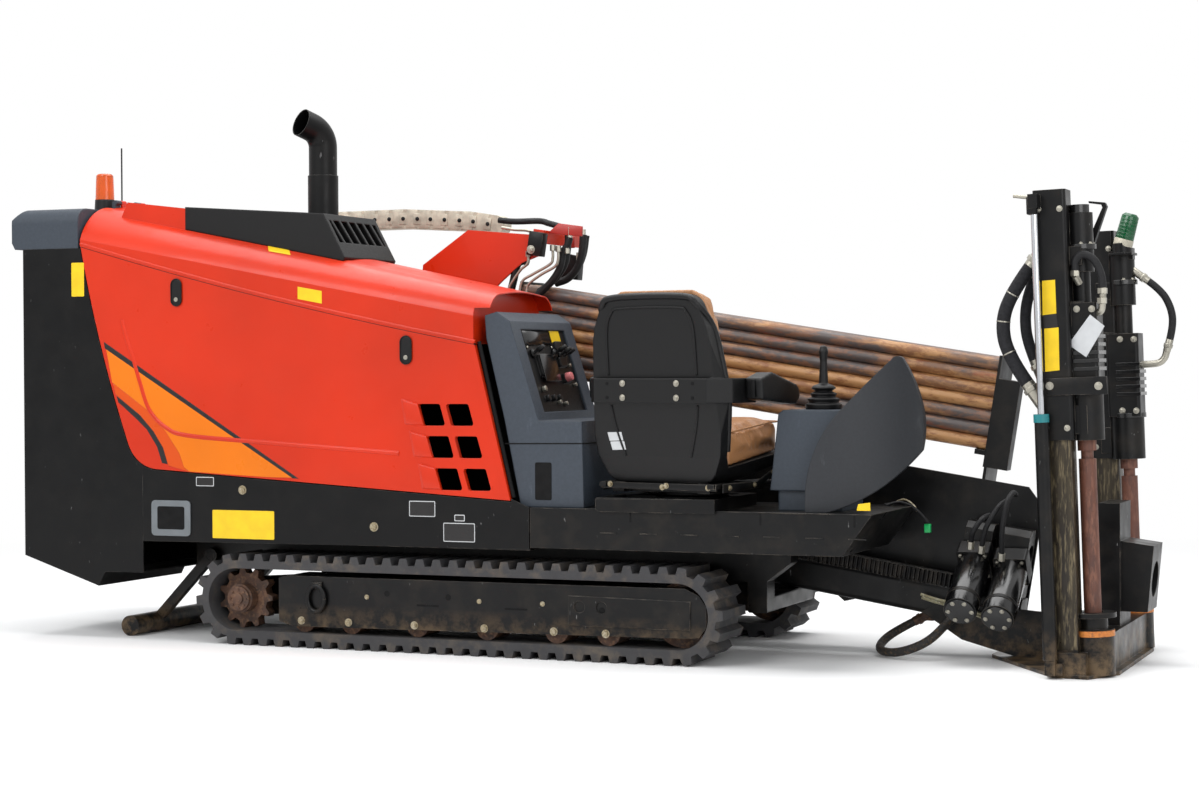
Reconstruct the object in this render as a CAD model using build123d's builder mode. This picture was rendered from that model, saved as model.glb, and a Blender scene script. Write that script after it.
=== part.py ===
from build123d import *
from math import atan2, cos, degrees, hypot, pi, radians, sin, tan
import os

os.makedirs("parts", exist_ok=True)

# Horizontal directional drill on rubber tracks, in millimetres.
# +X points to the drilling end, +Y to the machine's left side, +Z up, and the floor is Z = 0.

# Overall
HALF_WIDTH = 552
SHEET = 6
SEAM = 4
SEAT_GAP = 0.3
RUN_GAP = 5

# Tracks and running gear
TRACK_WIDTH = 230
DRIVE_X = -1133
IDLER_X = 574
WHEEL_Z = 165
LUG_HEIGHT = 25
BELT = 28
LUG_COUNT = 66
LUG_ROOT = 40
LUG_TIP = 26
BELT_OUT_R = WHEEL_Z - LUG_HEIGHT
BELT_IN_R = BELT_OUT_R - BELT
TRACK_MID_Y = HALF_WIDTH - TRACK_WIDTH / 2
TRACK_INNER_Y = HALF_WIDTH - TRACK_WIDTH
BEAM_OUT_Y = HALF_WIDTH - 12
BEAM_IN_Y = TRACK_INNER_Y + 50
BEAM_WALL = 9
ROLLER_Z = 97
ROLLER_X = (-865, -674, -412, -141, 122, 314)
ROLLER_SHAFT_R = 14
SPROCKET_TEETH = 11

# Chassis
RAIL_Y = 180
RAIL_WIDTH = 80
RAIL_REAR_X = -1480
RAIL_FRONT_X = 880
RAIL_BOTTOM = 262
FLOOR_BOTTOM = 372
FLOOR_PLATE = 8
FLOOR_TOP = FLOOR_BOTTOM + FLOOR_PLATE
BAY_LEFT_Y = 5
DECK_TOP = 520
DECK_BOTTOM = 382
DECK_REAR_X = 40
DECK_FRONT_X = 1249

# Rear stabiliser
FOOT_X = -1650
FOOT_R = 38
ARM_PIVOT = (-1400, 296)
ARM_WIDE = 30
ARM_HIGH = 36
ARM_OUT_Y = RAIL_Y + RAIL_WIDTH + RUN_GAP + ARM_WIDE / 2
PIN_R = 16

# Rear cowl and cap
COWL_REAR_X = -2050
COWL_FRONT_X = -1525
COWL_TOP = 1450
CREASE_X = -1720
CREASE_Z = 194
CAP_REAR_X = -2100
CAP_FRONT_X = -1803
CAP_TOP = 1601

# Hood's hinge line over the rear edge
HOOD_HINGE = (-1793, 1634)
HINGE_R = 9
HINGE_Y = (-320, -190)
HINGE_WIDE = 30

# Hood: section sizes at its rear and front ends
HOOD_REAR_X = -1793
HOOD_FRONT_X = -115
HOOD_WALL_X = -172
HOOD_LIP_Z = 1206
HOOD_TOP = (1610, 1258)
HOOD_SIDE_TOP = (1482, 1168)
HOOD_SHOULDER = (220, 110)
HOOD_FAR_SHOULDER = (130, 90)
HOOD_CROWN = 10
HOOD_SKIN = 5

# Side door outline
SEAM_REAR = (HOOD_REAR_X, 1456)
SEAM_MID = (-884, 1226)
SEAM_FRONT = (-166, 1080)
DOOR_LOW_FRONT = (-32, 540)
DOOR_LOW_REAR = (-1555, 635)
DOOR_REAR_BOW = (-1694, 1045)
DOOR_CORNER_R = 140
DOOR_THICK = 20
VENT_ROWS = 3
VENT_PITCH_X = 110
VENT_PITCH_Z = 112
VENT_SLANT = 33
VENT_FIRST = (-336, 836)
VENT_WIDE = 88
VENT_HIGH = 76

# Drill line: axis of the drill string, tilted down towards the front
TILT = 9
LINE_Y = 90
LINE_X = 2034
LINE_Z = 285
BEAM_REAR = -1330
BEAM_FRONT = 1650
BEAM_TOP = -150
BEAM_HIGH = 110
BEAM_HALF = 50
RACK_PITCH = 16
PLATE_TOP = 225
PIPE_D = 46
PIPE_PITCH = 46.3
PIPE_ROWS = 7
PIPE_COLUMNS = 4
PIPE_LENGTH = 1829
PIPE_REAR = -406
PIPE_LOW = 326
PIPE_FIRST_Y = 161

# Tilt cylinder: its lower and upper eyes, shared by the lugs, the barrel and the rod
RAM_Y = 218
RAM_LOW = (950, 190)
RAM_HIGH = (1200, 494)
RAM_STROKE = 251
EYE_R = 24
EYE_HALF = 15
EYE_GAP = 0.5
LUG_PLATE = 12
RAM_BAR = (RAM_HIGH[0] + 50, RAM_HIGH[1] - 12)
RAM_BAR_SIDE = 24

# Anchors
ANCHOR_MID_Y = LINE_Y
MAST_LEAN = 2
MAST_X = 1838
MAST_OUT = 420
AUGER_X = 1915
AUGER_OUT = 380
SLEEVE = 106
SLEEVE_WALL = 8
MAST_GAP = 3
LEFT_DROP = 90
AUGER_R = 28

# Seat
SEAT_X = 556
SEAT_Y = -330
SEAT_TURN = 12


def at_side(y):
    """Side-view plane whose local axes are X and Z, at the given Y; extrusion by + goes to -Y."""
    return Plane.XZ.offset(-y)


def blend(pair, x):
    """Value between the hood's rear and front ends at X."""
    share = (x - HOOD_REAR_X) / (HOOD_FRONT_X - HOOD_REAR_X)
    return pair[0] + (pair[1] - pair[0]) * share


def line_point(s, n):
    """X and Z of the point s along the drill line and n above it."""
    a = radians(TILT)
    return (s * cos(a) + n * sin(a), LINE_Z + (LINE_X / cos(a) - s) * sin(a) + n * cos(a))


def line_side(y):
    """Side-view plane along the drill line; local x runs forward, local y is the height over the line."""
    a = radians(TILT)
    x, z = line_point(0, 0)
    return Plane(origin=(x, y, z), x_dir=(cos(a), 0, -sin(a)), z_dir=(0, -1, 0))


def line_across(s):
    """Plane across the drill line at s; local x is +Y and local y is the height over the line."""
    a = radians(TILT)
    x, z = line_point(s, 0)
    return Plane(origin=(x, 0, z), x_dir=(0, 1, 0), z_dir=(cos(a), 0, -sin(a)))


# Door outline, shared by the door and by the panels around it
with BuildSketch(Plane.XY) as door_outline:
    with BuildLine():
        ThreePointArc(SEAM_REAR, SEAM_MID, SEAM_FRONT)
        Line(SEAM_FRONT, DOOR_LOW_FRONT)
        Line(DOOR_LOW_FRONT, DOOR_LOW_REAR)
        ThreePointArc(DOOR_LOW_REAR, DOOR_REAR_BOW, SEAM_REAR)
    make_face()
    low_corner = door_outline.vertices().sort_by_distance((DOOR_LOW_REAR[0], DOOR_LOW_REAR[1], 0))[0]
    fillet(low_corner, radius=DOOR_CORNER_R)
with BuildSketch(Plane.XY) as door_hole:
    add(door_outline.sketch)
    offset(amount=SEAM / 2, kind=Kind.INTERSECTION)
with BuildSketch(Plane.XY) as door_shape:
    add(door_outline.sketch)
    offset(amount=-SEAM / 2, kind=Kind.INTERSECTION)

# Rubber tracks: a closed belt with its lugs in the outline
loop_straight = IDLER_X - DRIVE_X
loop_round = pi * BELT_OUT_R
loop_length = 2 * (loop_straight + loop_round)


def loop_point(s, height):
    """Point on the belt's outer line at length s, lifted outwards by height."""
    s = s % loop_length
    r = BELT_OUT_R + height
    if s < loop_straight:
        return (DRIVE_X + s, WHEEL_Z + r)
    s -= loop_straight
    if s < loop_round:
        turn = pi / 2 - s / BELT_OUT_R
        return (IDLER_X + r * cos(turn), WHEEL_Z + r * sin(turn))
    s -= loop_round
    if s < loop_straight:
        return (IDLER_X - s, WHEEL_Z - r)
    s -= loop_straight
    turn = -pi / 2 - s / BELT_OUT_R
    return (DRIVE_X + r * cos(turn), WHEEL_Z + r * sin(turn))


lug_outline = []
lug_pitch = loop_length / LUG_COUNT
for i in range(LUG_COUNT):
    middle = (i + 0.5) * lug_pitch
    lug_outline.append(loop_point(middle - LUG_ROOT / 2, 0))
    lug_outline.append(loop_point(middle - LUG_TIP / 2, LUG_HEIGHT))
    lug_outline.append(loop_point(middle + LUG_TIP / 2, LUG_HEIGHT))
    lug_outline.append(loop_point(middle + LUG_ROOT / 2, 0))

for name, side in (("track_right", -1), ("track_left", 1)):
    with BuildPart() as track:
        with BuildSketch(at_side(side * TRACK_MID_Y)) as belt:
            with BuildLine():
                Polyline(*lug_outline, close=True)
            make_face()
            with Locations(((DRIVE_X + IDLER_X) / 2, WHEEL_Z)):
                SlotCenterToCenter(loop_straight, 2 * BELT_IN_R, mode=Mode.SUBTRACT)
        extrude(amount=TRACK_WIDTH / 2, both=True)
    track.part.label = name
    export_step(track.part, f"parts/{name}.step")

# Track frames: a folded beam open below, with the drive bracket at its rear
beam_mid_y = (BEAM_OUT_Y + BEAM_IN_Y) / 2
beam_width = BEAM_OUT_Y - BEAM_IN_Y
BEAM_PROFILE = ((-958, 92), (-958, 247), (-930, 256), (600, 259), (650, 236), (676, 200),
                (676, 130), (650, 96), (600, 92), (-900, 75))
IDLER_SLOT_X = 450
IDLER_HALF = 26
with BuildPart() as track_frames:
    for side in (-1, 1):
        with BuildSketch(at_side(side * beam_mid_y)):
            Polygon(*BEAM_PROFILE, align=None)
        extrude(amount=beam_width / 2, both=True)
        with BuildSketch(at_side(side * beam_mid_y)):
            Polygon((-1000, 0), (-1000, 247), (640, 247), (700, 247), (700, 0), align=None)
        extrude(amount=beam_width / 2 - BEAM_WALL, both=True, mode=Mode.SUBTRACT)
        # slot in the top for the idler
        with BuildSketch(at_side(side * beam_mid_y)):
            with Locations((IDLER_SLOT_X, 0)):
                Rectangle(300, 300, align=(Align.MIN, Align.MIN))
        extrude(amount=IDLER_HALF + 8, both=True, mode=Mode.SUBTRACT)
        with BuildSketch(at_side(side * (BEAM_IN_Y + BEAM_WALL / 2))):
            Polygon((-957, 100), (-957, 247), (-1133, 235), (-1200, 200), (-1200, 130), (-1133, 95), align=None)
        extrude(amount=BEAM_WALL / 2, both=True)
        # tensioner cover with its two grease holes, on the outer plate
        with BuildSketch(at_side(side * (BEAM_OUT_Y + 3))):
            Polygon((178, 120), (178, 222), (620, 216), (620, 120), align=None)
            with Locations((219, 185), (300, 185)):
                Circle(20, mode=Mode.SUBTRACT)
        extrude(amount=3, both=True)
track_frames.part.label = "track_frames"
export_step(track_frames.part, "parts/track_frames.step")

# Running gear: sprocket, idler and rollers between the plates of each track frame
roller_r = ROLLER_Z - (WHEEL_Z - BELT_IN_R) - SEAT_GAP
wheel_r = BELT_IN_R - SEAT_GAP
inner_half = beam_width / 2 - BEAM_WALL - SEAT_GAP
tooth_outline = []
for i in range(SPROCKET_TEETH):
    for share, reach in ((-0.30, 0.80), (-0.12, 1.0), (0.12, 1.0), (0.30, 0.80)):
        turn = 2 * pi * (i + share) / SPROCKET_TEETH
        tooth_outline.append((DRIVE_X + wheel_r * reach * cos(turn), WHEEL_Z + wheel_r * reach * sin(turn)))
with BuildPart() as running_gear:
    for side in (-1, 1):
        with BuildSketch(at_side(side * beam_mid_y)):
            Polygon(*tooth_outline, align=None)
        extrude(amount=22, both=True)
        with BuildSketch(at_side(side * (BEAM_IN_Y + BEAM_WALL + SEAT_GAP))):
            with Locations((DRIVE_X, WHEEL_Z)):
                Circle(52)
        extrude(amount=-side * (beam_width - BEAM_WALL - 20))
        with BuildSketch(at_side(side * beam_mid_y)):
            with Locations((IDLER_X, WHEEL_Z)):
                Circle(wheel_r)
        extrude(amount=IDLER_HALF, both=True)
        with BuildSketch(at_side(side * beam_mid_y)):
            with Locations((IDLER_X, WHEEL_Z)):
                Circle(34)
            with Locations(*[(x, ROLLER_Z) for x in ROLLER_X]):
                Circle(ROLLER_SHAFT_R)
        extrude(amount=inner_half, both=True)
        with BuildSketch(at_side(side * beam_mid_y)):
            with Locations(*[(x, ROLLER_Z) for x in ROLLER_X]):
                Circle(roller_r)
        extrude(amount=inner_half - 14, both=True)
running_gear.part.label = "running_gear"
export_step(running_gear.part, "parts/running_gear.step")

# Chassis frame: two rails, cross tubes to the track frames, floor plates and the drill frame's tower
PIVOT_S = -1180
PIVOT_N = BEAM_TOP - BEAM_HIGH / 2
PIVOT_X, PIVOT_Z = line_point(PIVOT_S, PIVOT_N)
PIVOT_R = 22
LUG_THICK = 14
LANE_HALF = BEAM_HALF + RUN_GAP
CROSS_X = (-720, 180)
with BuildPart() as chassis_frame:
    for side in (-1, 1):
        with BuildSketch(at_side(side * (RAIL_Y + RAIL_WIDTH / 2))):
            Polygon(
                (RAIL_REAR_X, RAIL_BOTTOM),
                (RAIL_REAR_X, FLOOR_BOTTOM),
                (RAIL_FRONT_X, FLOOR_BOTTOM),
                (RAIL_FRONT_X, 330),
                (RAIL_FRONT_X - 90, RAIL_BOTTOM),
                align=None,
            )
        extrude(amount=RAIL_WIDTH / 2, both=True)
    for x in CROSS_X:
        with BuildSketch(at_side(0)):
            with Locations((x, 211)):
                RectangleRounded(110, 102, 12)
        extrude(amount=BEAM_IN_Y, both=True)
    with BuildSketch(at_side(0)):
        with Locations((760, 184)):
            RectangleRounded(70, 56, 8)
    extrude(amount=RAIL_Y + RAIL_WIDTH, both=True)
    for side in (-1, 1):
        with BuildSketch(at_side(side * (RAIL_Y + RAIL_WIDTH / 2))):
            with Locations((760, 236)):
                Rectangle(70, 60)
        extrude(amount=RAIL_WIDTH / 2, both=True)
    # floor plates under the bay on the right and over the left track
    with BuildSketch(Plane.XY.offset(FLOOR_BOTTOM)):
        with Locations(((-1700 + 36) / 2, (-HALF_WIDTH + SHEET + BAY_LEFT_Y - SHEET) / 2)):
            Rectangle(1736, HALF_WIDTH + BAY_LEFT_Y - 2 * SHEET)
        with Locations(((-2000 + 700) / 2, (172 + HALF_WIDTH) / 2)):
            Rectangle(2700, HALF_WIDTH - 172)
        with Locations(((-1700 - 1040) / 2, (BAY_LEFT_Y + 172) / 2)):
            Rectangle(660, 172 - BAY_LEFT_Y)
    extrude(amount=FLOOR_PLATE)
    # tower of two lugs that carries the drill frame's pivot pin
    for y in (LINE_Y - LANE_HALF - LUG_THICK / 2, LINE_Y + LANE_HALF + LUG_THICK / 2):
        with BuildSketch(at_side(y)):
            Polygon(
                (PIVOT_X - 150, FLOOR_TOP),
                (PIVOT_X - 45, PIVOT_Z + 10),
                (PIVOT_X + 45, PIVOT_Z + 10),
                (PIVOT_X + 150 - 60, FLOOR_TOP),
                align=None,
            )
            with Locations((PIVOT_X, PIVOT_Z)):
                Circle(46)
            with Locations((PIVOT_X, PIVOT_Z)):
                Circle(PIVOT_R + SEAT_GAP, mode=Mode.SUBTRACT)
        extrude(amount=LUG_THICK / 2, both=True)
    # pivot pins of the rear stabiliser's arms
    for side in (-1, 1):
        with BuildSketch(at_side(side * (RAIL_Y + RAIL_WIDTH))):
            with Locations(ARM_PIVOT):
                Circle(PIN_R)
        extrude(amount=-side * (RUN_GAP + ARM_WIDE))
    # lug plates on the left rail's front end for the tilt cylinder
    for y in (RAM_Y - EYE_HALF - EYE_GAP - LUG_PLATE / 2, RAM_Y + EYE_HALF + EYE_GAP + LUG_PLATE / 2):
        with BuildSketch(at_side(y)):
            Polygon(
                (RAIL_FRONT_X - 80, RAIL_BOTTOM + 12),
                (RAIL_FRONT_X - 80, 345),
                (RAIL_FRONT_X, 345),
                (RAM_LOW[0] - 30, RAM_LOW[1] + 40),
                (RAM_LOW[0] - 8, RAM_LOW[1] + 28),
                (RAM_LOW[0] + 20, RAM_LOW[1] + 20),
                (RAM_LOW[0] + 30, RAM_LOW[1]),
                (RAM_LOW[0] + 20, RAM_LOW[1] - 22),
                (RAM_LOW[0] - 16, RAM_LOW[1] - 30),
                align=None,
            )
        extrude(amount=LUG_PLATE / 2, both=True)
chassis_frame.part.label = "chassis_frame"

export_step(chassis_frame.part, "parts/chassis_frame.step")

# Rear cowl: side, rear and bottom sheets with the door's edge cut out of the near side
with BuildPart() as rear_cowl:
    with BuildSketch(at_side(-HALF_WIDTH)):
        Polygon(
            (COWL_REAR_X, 300),
            (CREASE_X, CREASE_Z),
            (-1692, 247),
            (COWL_FRONT_X, 249),
            (COWL_FRONT_X, 1380),
            (CAP_FRONT_X, COWL_TOP),
            (COWL_REAR_X, COWL_TOP),
            align=None,
        )
    extrude(amount=-(HALF_WIDTH + BAY_LEFT_Y))
    with BuildSketch(at_side(-HALF_WIDTH + SHEET)):
        Polygon(
            (COWL_REAR_X + SHEET, 300 + SHEET - 1),
            (CREASE_X, CREASE_Z + SHEET),
            (-1696, 247 + SHEET),
            (COWL_FRONT_X + 50, 249 + SHEET),
            (COWL_FRONT_X + 50, 1600),
            (COWL_REAR_X + SHEET, 1600),
            align=None,
        )
    extrude(amount=-(HALF_WIDTH + BAY_LEFT_Y - 2 * SHEET), mode=Mode.SUBTRACT)
    with BuildSketch(at_side(-HALF_WIDTH)):
        add(door_hole.sketch)
    extrude(amount=-30, mode=Mode.SUBTRACT)
    with BuildSketch(Plane.YZ.offset(COWL_REAR_X)):
        with Locations(((-HALF_WIDTH + BAY_LEFT_Y) / 2, 900)):
            with GridLocations(230, 52, 2, 16):
                SlotOverall(200, 26)
    extrude(amount=SHEET + 1, mode=Mode.SUBTRACT)
rear_cowl.part.label = "rear_cowl"
export_step(rear_cowl.part, "parts/rear_cowl.step")

# Tail cap over the cowl, with rounded upper corners


def hinge_knuckles(shift, lean):
    """Knuckles on the hood's hinge line, each with its leaf that stands down from it."""
    with BuildPart() as knuckles:
        for y in HINGE_Y:
            with BuildSketch(at_side(y + shift)):
                with Locations(HOOD_HINGE):
                    Circle(HINGE_R)
                with Locations((HOOD_HINGE[0] + lean / 2, HOOD_HINGE[1] - 15)):
                    Rectangle(abs(lean), 38)
            extrude(amount=-HINGE_WIDE)
    return knuckles.part


with BuildPart() as tail_cap:
    with BuildSketch(at_side(-HALF_WIDTH)):
        Polygon(
            (CAP_REAR_X + 14, COWL_TOP),
            (CAP_REAR_X, 1475),
            (CAP_REAR_X, 1560),
            (CAP_REAR_X + 40, CAP_TOP),
            (CAP_FRONT_X, CAP_TOP),
            (CAP_FRONT_X, COWL_TOP),
            align=None,
        )
    extrude(amount=-(HALF_WIDTH + BAY_LEFT_Y))
    top_sides = tail_cap.faces().sort_by(Axis.Z)[-1].edges().filter_by(Axis.X)
    fillet(top_sides, radius=55)
    add(hinge_knuckles(0, -16))
tail_cap.part.label = "tail_cap"
export_step(tail_cap.part, "parts/tail_cap.step")

# Amber beacon on the cap, its base and its lens
BEACON_X = -1890
BEACON_Y = -250
with BuildPart() as beacon_base:
    with BuildSketch(Plane.XY.offset(CAP_TOP)):
        with Locations((BEACON_X, BEACON_Y)):
            Circle(40)
    extrude(amount=50, taper=3)
    with BuildSketch(Plane.XY.offset(CAP_TOP)):
        with Locations((-1935, -70)):
            Circle(14)
    extrude(amount=34, taper=12)
    with BuildSketch(Plane.XY.offset(CAP_TOP + 34)):
        with Locations((-1935, -70)):
            Circle(3)
    extrude(amount=232)
beacon_base.part.label = "beacon_base"
export_step(beacon_base.part, "parts/beacon_base.step")
with BuildPart() as beacon_lens:
    with BuildSketch(Plane.XY.offset(CAP_TOP + 50)):
        with Locations((BEACON_X, BEACON_Y)):
            Circle(36)
    extrude(amount=100, taper=2)
    fillet(beacon_lens.faces().sort_by(Axis.Z)[-1].edges(), radius=12)
beacon_lens.part.label = "beacon_lens"
export_step(beacon_lens.part, "parts/beacon_lens.step")

# Black skirt under the door
with BuildPart() as side_skirt:
    with BuildSketch(at_side(-HALF_WIDTH)):
        Polygon(
            (COWL_FRONT_X, 366),
            (36, 377),
            (36, DECK_TOP),
            (-200, 620),
            (COWL_FRONT_X, 780),
            align=None,
        )
        add(door_hole.sketch, mode=Mode.SUBTRACT)
    extrude(amount=-SHEET)
side_skirt.part.label = "side_skirt"
export_step(side_skirt.part, "parts/side_skirt.step")

# Far wall of the engine bay, between the floor and the hood's far edge
with BuildPart() as bay_wall:
    with BuildSketch(at_side(BAY_LEFT_Y)):
        with BuildLine():
            ThreePointArc(SEAM_REAR, SEAM_MID, SEAM_FRONT)
            Line(SEAM_FRONT, (SEAM_FRONT[0], FLOOR_TOP))
            Line((SEAM_FRONT[0], FLOOR_TOP), (SEAM_REAR[0], FLOOR_TOP))
            Line((SEAM_REAR[0], FLOOR_TOP), SEAM_REAR)
        make_face()
    extrude(amount=SHEET)
    with BuildSketch(at_side(BAY_LEFT_Y + 10)):
        with BuildLine():
            ThreePointArc(
                (SEAM_REAR[0], SEAM_REAR[1] - SEAM),
                (SEAM_MID[0], SEAM_MID[1] - SEAM),
                (SEAM_FRONT[0], SEAM_FRONT[1] - SEAM),
            )
            Line((SEAM_FRONT[0], SEAM_FRONT[1] - SEAM), (0, 1600))
            Line((0, 1600), (-1900, 1600))
            Line((-1900, 1600), (SEAM_REAR[0], SEAM_REAR[1] - SEAM))
        make_face()
        with Locations(((-2000 + COWL_FRONT_X) / 2, 900)):
            Rectangle(2000 + COWL_FRONT_X, 1400)
    extrude(amount=30, mode=Mode.SUBTRACT)
bay_wall.part.label = "bay_wall"
export_step(bay_wall.part, "parts/bay_wall.step")

# Engine: one plain block on its sump
with BuildPart() as engine_block:
    with BuildSketch(Plane.XY.offset(FLOOR_TOP)):
        with Locations((-1130, -260)):
            Rectangle(560, 260)
    extrude(amount=180)
    with BuildSketch(Plane.XY.offset(FLOOR_TOP + 180)):
        with Locations((-1130, -260)):
            Rectangle(720, 380)
    extrude(amount=460)
engine_block.part.label = "engine_block"
export_step(engine_block.part, "parts/engine_block.step")

# Tank over the left track's rear end
with BuildPart() as side_tank:
    with BuildSketch(at_side(300)):
        Polygon((-1990, FLOOR_TOP), (-1990, 850), (-1950, 890), (-1420, 890), (-1380, 850), (-1380, FLOOR_TOP), align=None)
    extrude(amount=HALF_WIDTH - 300 - 12, both=True)
    fillet(side_tank.edges().filter_by(Axis.Z), radius=25)
    with BuildSketch(Plane.XY.offset(890)):
        with Locations((-1700, 460)):
            Circle(38)
    extrude(amount=30)
side_tank.part.label = "side_tank"
export_step(side_tank.part, "parts/side_tank.step")


# Hood: a skin lofted between two arched sections
def hood_section(x, inset):
    near = -HALF_WIDTH + inset
    far = BAY_LEFT_Y - inset
    top = blend(HOOD_TOP, x) - inset
    side_top = blend(HOOD_SIDE_TOP, x) - inset / 2
    near_top = near + blend(HOOD_SHOULDER, x)
    far_top = far - blend(HOOD_FAR_SHOULDER, x)
    low = 1000
    with BuildLine() as outline:
        Line((near, low), (near, side_top))
        ThreePointArc(
            (near, side_top),
            (near + (near_top - near) * 0.36, side_top + (top - side_top) * 0.74),
            (near_top, top),
        )
        ThreePointArc((near_top, top), ((near_top + far_top) / 2, top + HOOD_CROWN), (far_top, top))
        ThreePointArc(
            (far_top, top),
            (far - (far - far_top) * 0.33, side_top + (top - side_top) * 0.74),
            (far, side_top),
        )
        Line((far, side_top), (far, low))
        Line((far, low), (near, low))
    return outline.line


def hood_solid(rear, front, inset):
    with BuildPart() as body:
        for x in (rear, front):
            with BuildSketch(Plane.YZ.offset(x)):
                with BuildLine():
                    add(hood_section(x, inset))
                make_face()
        loft(ruled=True)
    return body.part


hood_outer = hood_solid(HOOD_REAR_X, HOOD_FRONT_X, 0)
TURRET_REAR_X = -1650
COVER_REAR_X = -1398
COVER_NEAR_Y = -452
COVER_FAR_Y = -60
with BuildPart() as turret:
    with BuildSketch(at_side(COVER_NEAR_Y)):
        Polygon((TURRET_REAR_X - 60, 1500), (TURRET_REAR_X, 1622), (COVER_REAR_X, 1592), (COVER_REAR_X, 1420), align=None)
    extrude(amount=COVER_NEAR_Y - COVER_FAR_Y)
with BuildPart() as hood_lid:
    add(hood_outer)
    add(turret.part)
    add(hood_solid(HOOD_REAR_X + HOOD_SKIN, HOOD_WALL_X - HOOD_SKIN, HOOD_SKIN), mode=Mode.SUBTRACT)
    add(hood_solid(HOOD_WALL_X, HOOD_FRONT_X + 20, HOOD_SKIN), mode=Mode.SUBTRACT)
    with BuildSketch(at_side(-HALF_WIDTH - 20)):
        with Locations((HOOD_WALL_X, 900)):
            Rectangle(200, HOOD_LIP_Z - 900, align=(Align.MIN, Align.MIN))
        with BuildLine():
            ThreePointArc(SEAM_REAR, SEAM_MID, SEAM_FRONT)
            Line(SEAM_FRONT, (100, SEAM_FRONT[1]))
            Line((100, SEAM_FRONT[1]), (100, 900))
            Line((100, 900), (-1900, 900))
            Line((-1900, 900), (-1900, SEAM_REAR[1]))
            Line((-1900, SEAM_REAR[1]), SEAM_REAR)
        make_face()
    extrude(amount=-(HALF_WIDTH + 100), mode=Mode.SUBTRACT)
    add(hinge_knuckles(HINGE_WIDE + 1, 9))
hood_lid.part.label = "hood_lid"
export_step(hood_lid.part, "parts/hood_lid.step")

# Intake cover: a wedge on the hood with slanted fins in its front face
COVER_REAR_TOP = 1597
COVER_FRONT_TOP = (-817, 1557)
COVER_FRONT_LOW = (-730, 1397)
STACK_X = -930
STACK_Y = -250
STACK_SEAT = 1530
STACK_R = 56
FIN_COUNT = 6
face_lean = atan2(COVER_FRONT_LOW[0] - COVER_FRONT_TOP[0], COVER_FRONT_TOP[1] - COVER_FRONT_LOW[1])
face_plane = Plane(
    origin=((COVER_FRONT_TOP[0] + COVER_FRONT_LOW[0]) / 2, (COVER_NEAR_Y + COVER_FAR_Y) / 2,
            (COVER_FRONT_TOP[1] + COVER_FRONT_LOW[1]) / 2),
    x_dir=(0, 1, 0),
    z_dir=(cos(face_lean), 0, sin(face_lean)),
)
cover_width = COVER_FAR_Y - COVER_NEAR_Y
with BuildPart() as intake_cover:
    with BuildSketch(at_side(COVER_NEAR_Y)):
        Polygon(
            (COVER_REAR_X, 1400),
            (COVER_REAR_X, COVER_REAR_TOP),
            COVER_FRONT_TOP,
            COVER_FRONT_LOW,
            (-760, 1340),
            align=None,
        )
    extrude(amount=-cover_width)
    add(hood_outer, mode=Mode.SUBTRACT)
    with BuildSketch(face_plane):
        with Locations((0, 18)):
            Rectangle(cover_width - 40, 92)
    extrude(amount=-40, mode=Mode.SUBTRACT)
    with BuildSketch(face_plane):
        with Locations((0, 18)):
            with GridLocations((cover_width - 40) / FIN_COUNT, 1, FIN_COUNT, 1):
                Polygon((-16, 48), (-2, 48), (16, -48), (2, -48), align=None)
    extrude(amount=-40)
    with BuildSketch(Plane.XY.offset(STACK_SEAT)):
        with Locations((STACK_X, STACK_Y)):
            Circle(STACK_R + SEAT_GAP)
    extrude(amount=200, mode=Mode.SUBTRACT)
intake_cover.part.label = "intake_cover"
export_step(intake_cover.part, "parts/intake_cover.step")

# Exhaust stack: a sleeve and a tube that bends to a side-facing mouth
STACK_TUBE_R = 52
STACK_WALL = 3
STACK_BEND_Z = 1868
STACK_BEND_R = 78
with BuildPart() as exhaust_stack:
    with BuildLine() as stack_path:
        FilletPolyline(
            (STACK_X, STACK_Y, STACK_SEAT),
            (STACK_X, STACK_Y, STACK_BEND_Z),
            (STACK_X - 45, STACK_Y - 82, STACK_BEND_Z + 34),
            radius=STACK_BEND_R,
        )
    with BuildSketch(Plane.XY.offset(STACK_SEAT)):
        with Locations((STACK_X, STACK_Y)):
            Circle(STACK_TUBE_R)
            Circle(STACK_TUBE_R - STACK_WALL, mode=Mode.SUBTRACT)
    sweep()
    with BuildSketch(Plane.XY.offset(STACK_SEAT)):
        with Locations((STACK_X, STACK_Y)):
            Circle(STACK_R)
            Circle(STACK_TUBE_R, mode=Mode.SUBTRACT)
    extrude(amount=180)
exhaust_stack.part.label = "exhaust_stack"
export_step(exhaust_stack.part, "parts/exhaust_stack.step")

# Side door: a panel with two columns of slanted vents and two latches near its top seam
LATCHES = ((-1372, 1278), (-432, 1062))
LATCH_WIDE = 42
LATCH_HIGH = 96
with BuildPart() as side_door:
    with BuildSketch(at_side(-HALF_WIDTH)):
        add(door_shape.sketch)
    extrude(amount=-DOOR_THICK)
    with BuildSketch(at_side(-HALF_WIDTH)) as vents:
        for row in range(VENT_ROWS):
            for column in range(2):
                x = VENT_FIRST[0] + row * VENT_SLANT + column * VENT_PITCH_X
                z = VENT_FIRST[1] - row * VENT_PITCH_Z
                lean = VENT_SLANT * VENT_HIGH / VENT_PITCH_Z / 2
                with Locations((x, z)):
                    Polygon(
                        (-VENT_WIDE / 2 + lean, -VENT_HIGH / 2),
                        (VENT_WIDE / 2 + lean, -VENT_HIGH / 2),
                        (VENT_WIDE / 2 - lean, VENT_HIGH / 2),
                        (-VENT_WIDE / 2 - lean, VENT_HIGH / 2),
                        align=None,
                    )
        fillet(vents.vertices(), radius=9)
    extrude(amount=-DOOR_THICK - 1, mode=Mode.SUBTRACT)
side_door.part.label = "side_door"
export_step(side_door.part, "parts/side_door.step")
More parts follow.
